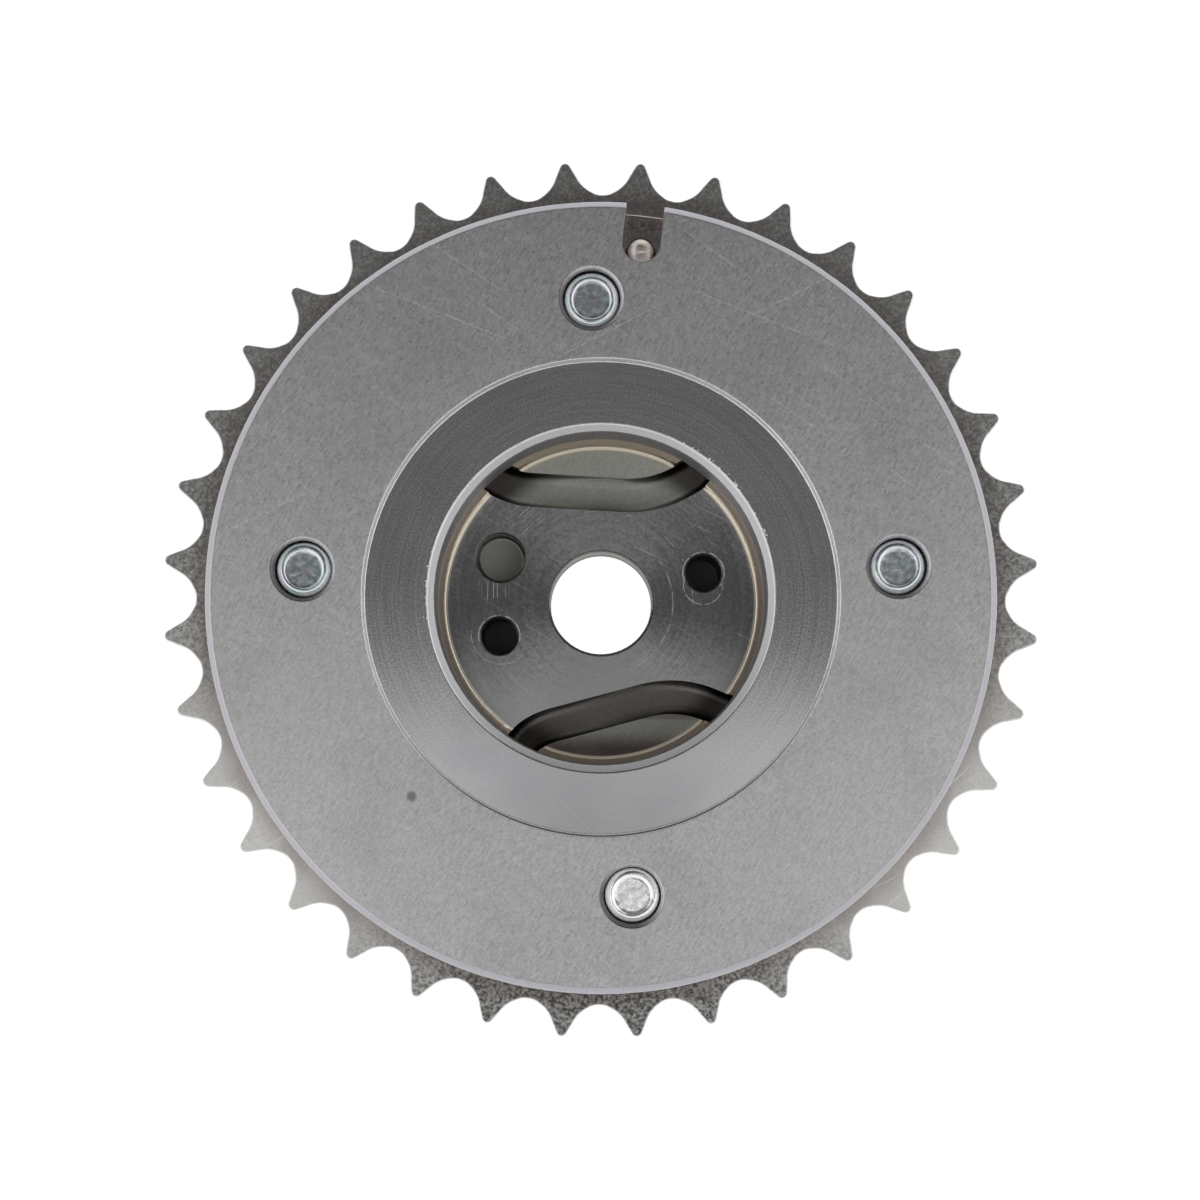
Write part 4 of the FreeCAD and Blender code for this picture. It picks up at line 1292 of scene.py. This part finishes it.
@dataclass(frozen=True)
class TeethFill:
    """How much the teeth widen between their valleys and their tips, in mm."""

    width: float = 0.25
    root_radius: float = 43.4
    start_radius: float = 43.42
    tip_radius: float = 46.95
    rise: float = 0.3
    fade: float = 1.1
    phase: float = 4.75
    step: float = 10.0

    def widen(self, mesh: bmesh.types.BMesh) -> None:
        """Widens the teeth of a mesh in mm, with their tips and valleys left in place."""
        for vert in mesh.verts:
            radius = vert.co.xy.length
            if radius < self.start_radius:
                continue
            angle = math.degrees(math.atan2(vert.co.y, vert.co.x)) - self.phase
            off = (angle + self.step / 2) % self.step - self.step / 2
            half = math.radians(abs(off)) * radius
            wide = self.width * min(1.0, (radius - self.root_radius) / self.rise,
                                    max(0.0, (self.tip_radius - radius) / self.fade),
                                    half / self.rise)
            turn = math.copysign(wide / radius, off)
            vert.co.xy = Matrix.Rotation(turn, 2) @ vert.co.xy


def rounded_copy(plan: Rounding, material: bpy.types.Material) -> bpy.types.Object:
    """Makes a copy of a CAD node with rounded edges, which stands for it.

    Args:
        plan: the node and its roundings.
        material: its finish.

    Returns:
        The new piece.
    """
    mesh = bmesh.new()
    mesh.from_mesh(frame["nodes"][plan.node].data)
    bmesh.ops.scale(mesh, verts=mesh.verts, vec=(1 / MM, 1 / MM, 1 / MM))
    bmesh.ops.remove_doubles(mesh, verts=mesh.verts, dist=plan.merge)
    bmesh.ops.dissolve_limit(mesh, angle_limit=FLAT_ANGLE, verts=mesh.verts,
                             edges=mesh.edges, use_dissolve_boundaries=False)
    if plan.toothed:
        TeethFill().widen(mesh)
    mask = mesh.faces.layers.float.new(EDGE_MASK)
    limit = math.radians(plan.sharp_angle)
    rounded = set()
    for cove in plan.coves:
        inner = [e for e in mesh.edges
                 if not e.is_convex and e.calc_face_angle(0.0) > COVE_ANGLE
                 and all(abs(v.co.z - cove.height) < COVE_BAND for v in e.verts)]
        rounded.update(bevelled(mesh, inner, cove.width, cove.segments, clamp=True))
    sharp = [e for e in mesh.edges
             if e.calc_face_angle(0.0) > limit and rounded.isdisjoint(e.link_faces)
             and (e.is_convex or not plan.convex_only)]
    for face in bevelled(mesh, sharp, plan.width, 2, clamp=True):
        face[mask] = 1.0
    if plan.mouths:
        PlateMouths().shade(mesh, plan.mouths)
    else:
        shade_side(mesh, *plan.shaded)
    bmesh.ops.scale(mesh, verts=mesh.verts, vec=(MM, MM, MM))
    piece = new_piece(f"{plan.node}_rounded", mesh, plan.body, material)
    weigh = piece.modifiers.new("weighted_normals", "WEIGHTED_NORMAL")
    weigh.weight = 100
    weigh.keep_sharp = True
    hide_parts(plan.node)
    return piece


def turn_seat(plate: bpy.types.Object, material: bpy.types.Material) -> None:
    """Gives the plate's seat, step and bore their own finish.

    Args:
        plate: the rear plate.
        material: the turned finish.
    """
    plate.data.materials.append(material)
    turned = [v.co.xy.length < SEAT_EDGE and v.co.z < SEAT_TOP for v in plate.data.vertices]
    for face in plate.data.polygons:
        if all(turned[number] for number in face.vertices):
            face.material_index = 1


def drawn_line(mesh: bmesh.types.BMesh, points: list[tuple[float, float]]) -> Geometry:
    """Draws a line of radius and height in the plane of x and z.

    Args:
        mesh: the mesh that gets it.
        points: the radius and height of each point, in mm.

    Returns:
        Its vertices and edges.
    """
    verts = [mesh.verts.new((radius, 0.0, height)) for radius, height in points]
    return verts + [mesh.edges.new(pair) for pair in zip(verts, verts[1:])]


def spun(profile: list[tuple[float, float]], steps: int) -> bmesh.types.BMesh:
    """Spins a profile of radius and height about z into a closed shell.

    Args:
        profile: the radius and height of each point, in mm, from axis to axis.
        steps: how many facets go round.

    Returns:
        The mesh, in mm.
    """
    mesh = bmesh.new()
    bmesh.ops.spin(mesh, geom=drawn_line(mesh, profile), cent=(0, 0, 0), axis=(0, 0, 1),
                   angle=math.tau, steps=steps, use_merge=True)
    bmesh.ops.remove_doubles(mesh, verts=mesh.verts, dist=1e-4)
    return mesh


ROUNDED = (
    Rounding("rear_plate", 0.12, Body.HOUSING, "plate_steel", sharp_angle=20.0,
             mouths=BOLT_PLACES),
    Rounding("sprocket_housing", 0.16, Body.HOUSING, "sintered_steel", toothed=True,
             convex_only=True),
    Rounding("front_plate", 0.15, Body.HOUSING, "plate_steel"),
    Rounding("rotor", 0.12, Body.ROTOR, "rotor_steel", merge=0.07,
             coves=(Cove(17.95, 1.5, 5), Cove(20.45, 0.24, 3), Cove(16.45, 0.4, 3)),
             shaded=(17.96, 18.7)),
)


# Sub-assemblies


@dataclass
class HousingBolt:
    """One flange bolt with its thread and its hammered end, in mm.

    The end's profile gives each point's radius and its depth under the end.
    """

    radius: float = 3.0
    thread_depth: float = 0.5
    crest_gap: float = 0.06
    pitch: float = 1.0
    thread_start: float = 22.0
    thread_end: float = 29.55
    head_height: float = 5.0
    flange_height: float = 1.8
    flange_radius: float = 6.2
    cone_radius: float = 4.5
    hex_width: float = 8.0
    hex_rounding: float = 0.18
    hex_chamfer: float = 0.35
    overlap: float = 0.2
    end_z: float = 30.1
    end_profile: tuple[tuple[float, float], ...] = (
        (2.86, 0.38), (2.74, 0.22), (2.56, 0.11), (2.32, 0.04), (2.12, 0.02), (2.02, 0.09),
        (1.9, 0.12), (1.3, 0.12), (0.65, 0.12), (0.0, 0.12),
    )
    flat_radius: float = 1.95
    dent_radius: float = 2.5
    dent_depth: float = 0.018
    dent_scale: float = 1.6
    turn: float = 0.0
    slope: tuple[float, float] = (0.0, 0.0)
    steps: int = 48

    def build(self, number: int, x: float, y: float,
              material: bpy.types.Material) -> bpy.types.Object:
        """Builds the bolt and puts it in place.

        Args:
            number: the bolt's number.
            x: the axis's x in mm.
            y: the axis's y in mm.
            material: its finish.

        Returns:
            The piece.
        """
        mesh = self.shank()
        self.add(mesh, self.head())
        self.add(mesh, self.thread())
        bmesh.ops.rotate(mesh, verts=mesh.verts, cent=(0, 0, 0),
                         matrix=Matrix.Rotation(self.turn, 3, "Z"))
        self.hammer(mesh, number)
        bmesh.ops.translate(mesh, verts=mesh.verts, vec=(x, y, 0))
        bmesh.ops.scale(mesh, verts=mesh.verts, vec=(MM, MM, MM))
        return new_piece(f"housing_bolt_{number}", mesh, Body.HOUSING, material)

    def add(self, mesh: bmesh.types.BMesh, other: bmesh.types.BMesh) -> None:
        """Adds another mesh to this one and frees it.

        Args:
            mesh: the mesh that grows.
            other: the mesh that is added.
        """
        data = bpy.data.meshes.new("bolt_part")
        other.to_mesh(data)
        other.free()
        mesh.from_mesh(data)
        bpy.data.meshes.remove(data)

    def shank(self) -> bmesh.types.BMesh:
        """Turns the shank, from under the head to the end.

        Returns:
            The mesh, in mm.
        """
        core = self.radius - self.thread_depth
        foot = self.head_height - 0.4
        profile = [
            (0.0, foot),
            (self.radius, foot),
            (self.radius, self.thread_start - 0.6),
            (core, self.thread_start),
            (core, self.thread_end - 0.4),
            (self.radius - self.crest_gap, self.thread_end),
        ]
        profile += [(radius, self.end_z - depth) for radius, depth in self.end_profile]
        return spun(profile, self.steps)

    def head(self) -> bmesh.types.BMesh:
        """Makes the flange and the hexagon with its rounded corners.

        Returns:
            The mesh, in mm.
        """
        flange_z = self.head_height - self.flange_height
        mesh = spun([
            (0.0, self.head_height),
            (self.flange_radius - 0.15, self.head_height),
            (self.flange_radius, self.head_height - 0.15),
            (self.flange_radius, self.head_height - 0.55),
            (self.flange_radius - 0.2, self.head_height - 0.75),
            (self.cone_radius + 0.3, flange_z + 0.15),
            (self.cone_radius, flange_z),
            (self.cone_radius - 0.4, flange_z - 0.1),
            (0.0, flange_z - 0.1),
        ], self.steps)
        hexagon = bmesh.new()
        corner = self.hex_width / math.sqrt(3)
        tall = flange_z + self.overlap
        bmesh.ops.create_cone(hexagon, cap_ends=True, segments=6, radius1=corner,
                              radius2=corner, depth=tall)
        bmesh.ops.translate(hexagon, verts=hexagon.verts, vec=(0, 0, tall / 2))
        upright = [e for e in hexagon.edges if abs(e.verts[0].co.z - e.verts[1].co.z) > 1]
        bevelled(hexagon, upright, self.hex_rounding, 2)
        low = [e for e in hexagon.edges if all(v.co.z < 0.01 for v in e.verts)]
        bevelled(hexagon, low, self.hex_chamfer, 3)
        self.add(mesh, hexagon)
        return mesh

    def thread(self) -> bmesh.types.BMesh:
        """Winds the thread as a helical sleeve, closed at both ends.

        Returns:
            The mesh, in mm.
        """
        core = self.radius - self.thread_depth - 0.02
        crest = self.radius - self.crest_gap
        turns = int((self.thread_end - self.thread_start) / self.pitch) - 1
        steps = self.steps // 2
        shape = ((core, 0.0), (crest, 0.42), (crest, 0.58))
        points = [(radius, self.thread_start + (turn + share) * self.pitch)
                  for turn in range(turns) for radius, share in shape]
        points.append((core, self.thread_start + turns * self.pitch))
        mesh = bmesh.new()
        bmesh.ops.spin(mesh, geom=drawn_line(mesh, points), cent=(0, 0, 0), axis=(0, 0, 1),
                       dvec=(0, 0, self.pitch / steps), angle=math.tau, steps=steps)
        bmesh.ops.remove_doubles(mesh, verts=mesh.verts, dist=1e-3)
        bmesh.ops.holes_fill(mesh, edges=[e for e in mesh.edges if e.is_boundary], sides=0)
        return mesh

    def hammer(self, mesh: bmesh.types.BMesh, number: int) -> None:
        """Dents the flat of the bolt's end and tilts it a little.

        Args:
            mesh: the bolt's mesh, in mm.
            number: the bolt's number, which sets its own dents.
        """
        inner = [f for f in mesh.faces
                 if all(v.co.z > self.end_z - 0.13 and v.co.xy.length < self.flat_radius
                        for v in f.verts)]
        edges = list({e for f in inner for e in f.edges})
        bmesh.ops.subdivide_edges(mesh, edges=edges, cuts=1, use_grid_fill=True)
        for vert in mesh.verts:
            if vert.co.z > self.end_z - 0.3 and vert.co.xy.length < self.dent_radius:
                place = Vector((vert.co.x * self.dent_scale, vert.co.y * self.dent_scale,
                                number * 5.0))
                vert.co.z += self.dent_depth * (noise.noise(place) - 0.35)
                vert.co.z += self.slope[0] * vert.co.x + self.slope[1] * vert.co.y


@dataclass
class HousingBolts:
    """The four bolts that hold the stack together."""

    places: tuple[tuple[float, float], ...] = BOLT_PLACES
    turns: tuple[float, ...] = (0.2, 0.9, 0.5, 0.75)
    slopes: tuple[tuple[float, float], ...] = ((0, -0.02), (0, 0.01), (0, -0.03), (-0.05, -0.02))

    def build(self, material: bpy.types.Material) -> None:
        """Builds the bolts, which together stand for the CAD node.

        Args:
            material: their finish.
        """
        rows = zip(self.places, self.turns, self.slopes)
        for number, ((x, y), turn, slope) in enumerate(rows, start=1):
            piece = HousingBolt(turn=turn, slope=slope).build(number, x, y, material)
            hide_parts("housing_bolts")


@dataclass
class LocatingPin:
    """The short pin in the notch, its end dressed at a slant, in mm.

    The end's profile gives each point's step in from the side and down from the top.
    """

    radius: float = 1.48
    top_z: float = 27.0
    chamfer: float = 0.35
    end_profile: tuple[tuple[float, float], ...] = (
        (0.07, 0.55), (0.3, 0.32), (0.55, 0.15), (0.9, 0.03),
    )
    tilt: Triple = (0.06, -0.55, 1.0)
    cut_y: float = -0.45
    cut_depth: float = 0.12
    cut_bevel: float = 0.09
    steps: int = 40

    def build(self, material: bpy.types.Material) -> bpy.types.Object:
        """Builds the pin in place of the CAD node.

        Args:
            material: its finish.

        Returns:
            The piece.
        """
        low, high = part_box("locating_pin")
        centre = (low + high) / 2
        bottom = low.z / MM
        profile = [
            (0.0, bottom),
            (self.radius - self.chamfer, bottom),
            (self.radius, bottom + self.chamfer),
            (self.radius, self.top_z - 0.75),
        ]
        profile += [(self.radius - inward, self.top_z - down)
                    for inward, down in self.end_profile]
        mesh = spun([*profile, (0.0, self.top_z)], self.steps)
        geom = list(mesh.verts) + list(mesh.edges) + list(mesh.faces)
        cut = bmesh.ops.bisect_plane(mesh, geom=geom, dist=1e-5,
                                     plane_no=Vector(self.tilt).normalized(),
                                     plane_co=(0.0, self.cut_y, self.top_z - self.cut_depth),
                                     clear_outer=True)
        ring = [e for e in cut["geom_cut"] if isinstance(e, bmesh.types.BMEdge)]
        bmesh.ops.holes_fill(mesh, edges=ring, sides=0)
        bevelled(mesh, ring, self.cut_bevel, 2)
        bmesh.ops.translate(mesh, verts=mesh.verts, vec=(centre.x / MM, centre.y / MM, 0))
        bmesh.ops.scale(mesh, verts=mesh.verts, vec=(MM, MM, MM))
        piece = new_piece("locating_pin_dressed", mesh, Body.HOUSING, material)
        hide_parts("locating_pin")
        return piece


@dataclass
class CarriedNodes:
    """The CAD nodes that keep their mesh and get a finish."""

    finishes: dict[str, bpy.types.Material]

    def dress(self) -> None:
        """Gives each node the finish of its slot."""
        for row in frame["record"]["subparts"]:
            node = frame["nodes"][row["node"]]
            material = self.finishes[row["material_slot"]]
            for place in node.material_slots:
                place.material = material
            LOG.info("%s: %s", row["node"], material.name)


# Studio


@dataclass(frozen=True)
class Lamp:
    """One large soft lamp, aimed at the object: its place and side in metres."""

    name: str
    place: Triple
    power: float
    size: float = 2.2

    def hang(self) -> None:
        """Hangs the lamp."""
        light = bpy.data.lights.new(self.name, "AREA")
        light.size = self.size
        light.energy = self.power
        lamp = bpy.data.objects.new(self.name, light)
        lamp.location = self.place
        lamp.rotation_euler = (-Vector(self.place)).to_track_quat("-Z", "Y").to_euler()
        bpy.context.scene.collection.objects.link(lamp)


@dataclass
class Studio:
    """The floor, the light tent, the lamps and the camera, in metres."""

    floor_size: float = 6.0
    floor_drop: float = 0.0001
    floor_glow: float = 1.0
    floor_seen: float = 0.1
    floor_lit: float = 0.82
    tent_level: float = 0.94
    cloth_depth: float = 0.88
    cloth_start: tuple[float, float] = (-0.014, 0.034)
    cloth_end: tuple[float, float] = (0.16, 0.28)
    gap_stretch: float = 1.3
    gap_centre: float = -0.165
    gap_radius: tuple[float, float] = (0.14, 0.08)
    target: Triple = (-0.0001, 0.0, 0.0265)
    height: float = 0.2541
    offset: float = 0.0142
    sensor: float = 36.0
    lens: float = 71.19
    lamps: tuple[Lamp, ...] = (
        Lamp("key_lamp", (1.5, 0.3, 1.0), 4.0),
        Lamp("fill_lamp", (-1.5, -0.6, 0.9), 3.5),
    )

    def build(self) -> None:
        """Builds the whole studio."""
        self.floor()
        self.tent()
        for lamp in self.lamps:
            lamp.hang()
        self.camera()

    def floor(self) -> None:
        """Lays the pale floor under the bolt heads."""
        mesh = bmesh.new()
        bmesh.ops.create_grid(mesh, x_segments=1, y_segments=1, size=self.floor_size / 2)
        data = bpy.data.meshes.new("floor")
        mesh.to_mesh(data)
        mesh.free()
        floor = bpy.data.objects.new("floor", data)
        floor.location = (0.0, 0.0, CAD_BOX[0].z - self.floor_drop)
        bpy.context.scene.collection.objects.link(floor)
        material = bpy.data.materials.new("pale_floor")
        material.use_nodes = True
        w = Wiring(material.node_tree)
        shader = material.node_tree.nodes["Principled BSDF"]
        shader.inputs["Roughness"].default_value = 0.9
        shader.inputs["Specular IOR Level"].default_value = 0.0
        shader.inputs["Emission Color"].default_value = (1.0, 1.0, 1.0, 1.0)
        rays = w.add("ShaderNodeLightPath")
        seen = w.math("ADD", rays.outputs["Is Camera Ray"], rays.outputs["Is Glossy Ray"])
        seen = w.math("ADD", seen, rays.outputs["Is Transmission Ray"], clamp=True)
        w.feed(shader.inputs["Emission Strength"], w.times(seen, self.floor_glow))
        tone = w.math("MULTIPLY_ADD", seen, self.floor_seen - self.floor_lit, self.floor_lit)
        w.feed(shader.inputs["Base Color"], w.even(tone))
        data.materials.append(material)

    def tent(self) -> None:
        """Sets the white tent with its soft dark top and the gap for the camera."""
        world = bpy.data.worlds.new("light_tent")
        world.use_nodes = True
        bpy.context.scene.world = world
        w = Wiring(world.node_tree)
        background = world.node_tree.nodes["Background"]
        x, y, z = w.parts(w.add("ShaderNodeTexCoord").outputs["Generated"])
        overhead = w.times(w.spread(z, 0.5, 0.85), w.spread(w.math("ABSOLUTE", x), 0.6, 0.25))
        cloth = w.times(w.spread(y, *self.cloth_start, 0.0, 0.86), overhead)
        cloth = w.math("MULTIPLY_ADD", w.spread(y, *self.cloth_end, 0.0, 0.1), overhead, cloth)
        gap = w.vector("LENGTH", w.joined(w.math("DIVIDE", x, self.gap_stretch),
                                          w.math("ADD", y, -self.gap_centre))).outputs["Value"]
        gap = w.times(w.spread(gap, *self.gap_radius), w.math("GREATER_THAN", z, 0.0))
        level = w.math("MULTIPLY_ADD", w.math("MAXIMUM", cloth, gap),
                       -self.cloth_depth, self.tent_level)
        for way, start, end, share in ((y, 0.2, 0.8, 0.74), (y, -0.6, -1.0, 0.82),
                                       (x, 0.7, 1.0, 0.78)):
            level = w.times(level, w.spread(way, start, end, 1.0, share))
        w.feed(background.inputs["Color"], w.even(level))
        background.inputs["Strength"].default_value = 1.0

    def camera(self) -> None:
        """Sets the camera above the plate, a little below its middle."""
        data = bpy.data.cameras.new("camera")
        data.sensor_width = self.sensor
        data.lens = self.lens
        data.shift_y = self.offset / self.height * self.lens / self.sensor
        data.clip_start = 0.01
        camera = bpy.data.objects.new("camera", data)
        camera.location = Vector(self.target) + Vector((0.0, -self.offset, self.height))
        bpy.context.scene.collection.objects.link(camera)
        bpy.context.scene.camera = camera


def main() -> None:
    """Builds the finishes, the pieces and the studio in order."""
    logging.basicConfig(level=logging.INFO, format="%(message)s")
    bpy.context.scene.view_settings.view_transform = "Standard"
    finishes = {
        "plate_steel": GroundPlate().build(),
        "sintered_steel": SinteredSteel().build(),
        "rotor_steel": RotorSteel().build(),
        "bolt_zinc": ZincBolt().build(),
        "pin_steel": PinSteel().build(),
        "spring_steel": SpringSteel().build(),
        "seal_polymer": SealPolymer().build(),
    }
    CarriedNodes(finishes).dress()
    for plan in ROUNDED:
        piece = rounded_copy(plan, finishes[plan.slot])
        if plan.node == "rear_plate":
            turn_seat(piece, TurnedSeat().build())
    HousingBolts().build(finishes["bolt_zinc"])
    LocatingPin().build(finishes["pin_steel"])
    Studio().build()


if __name__ == "__main__":
    main()
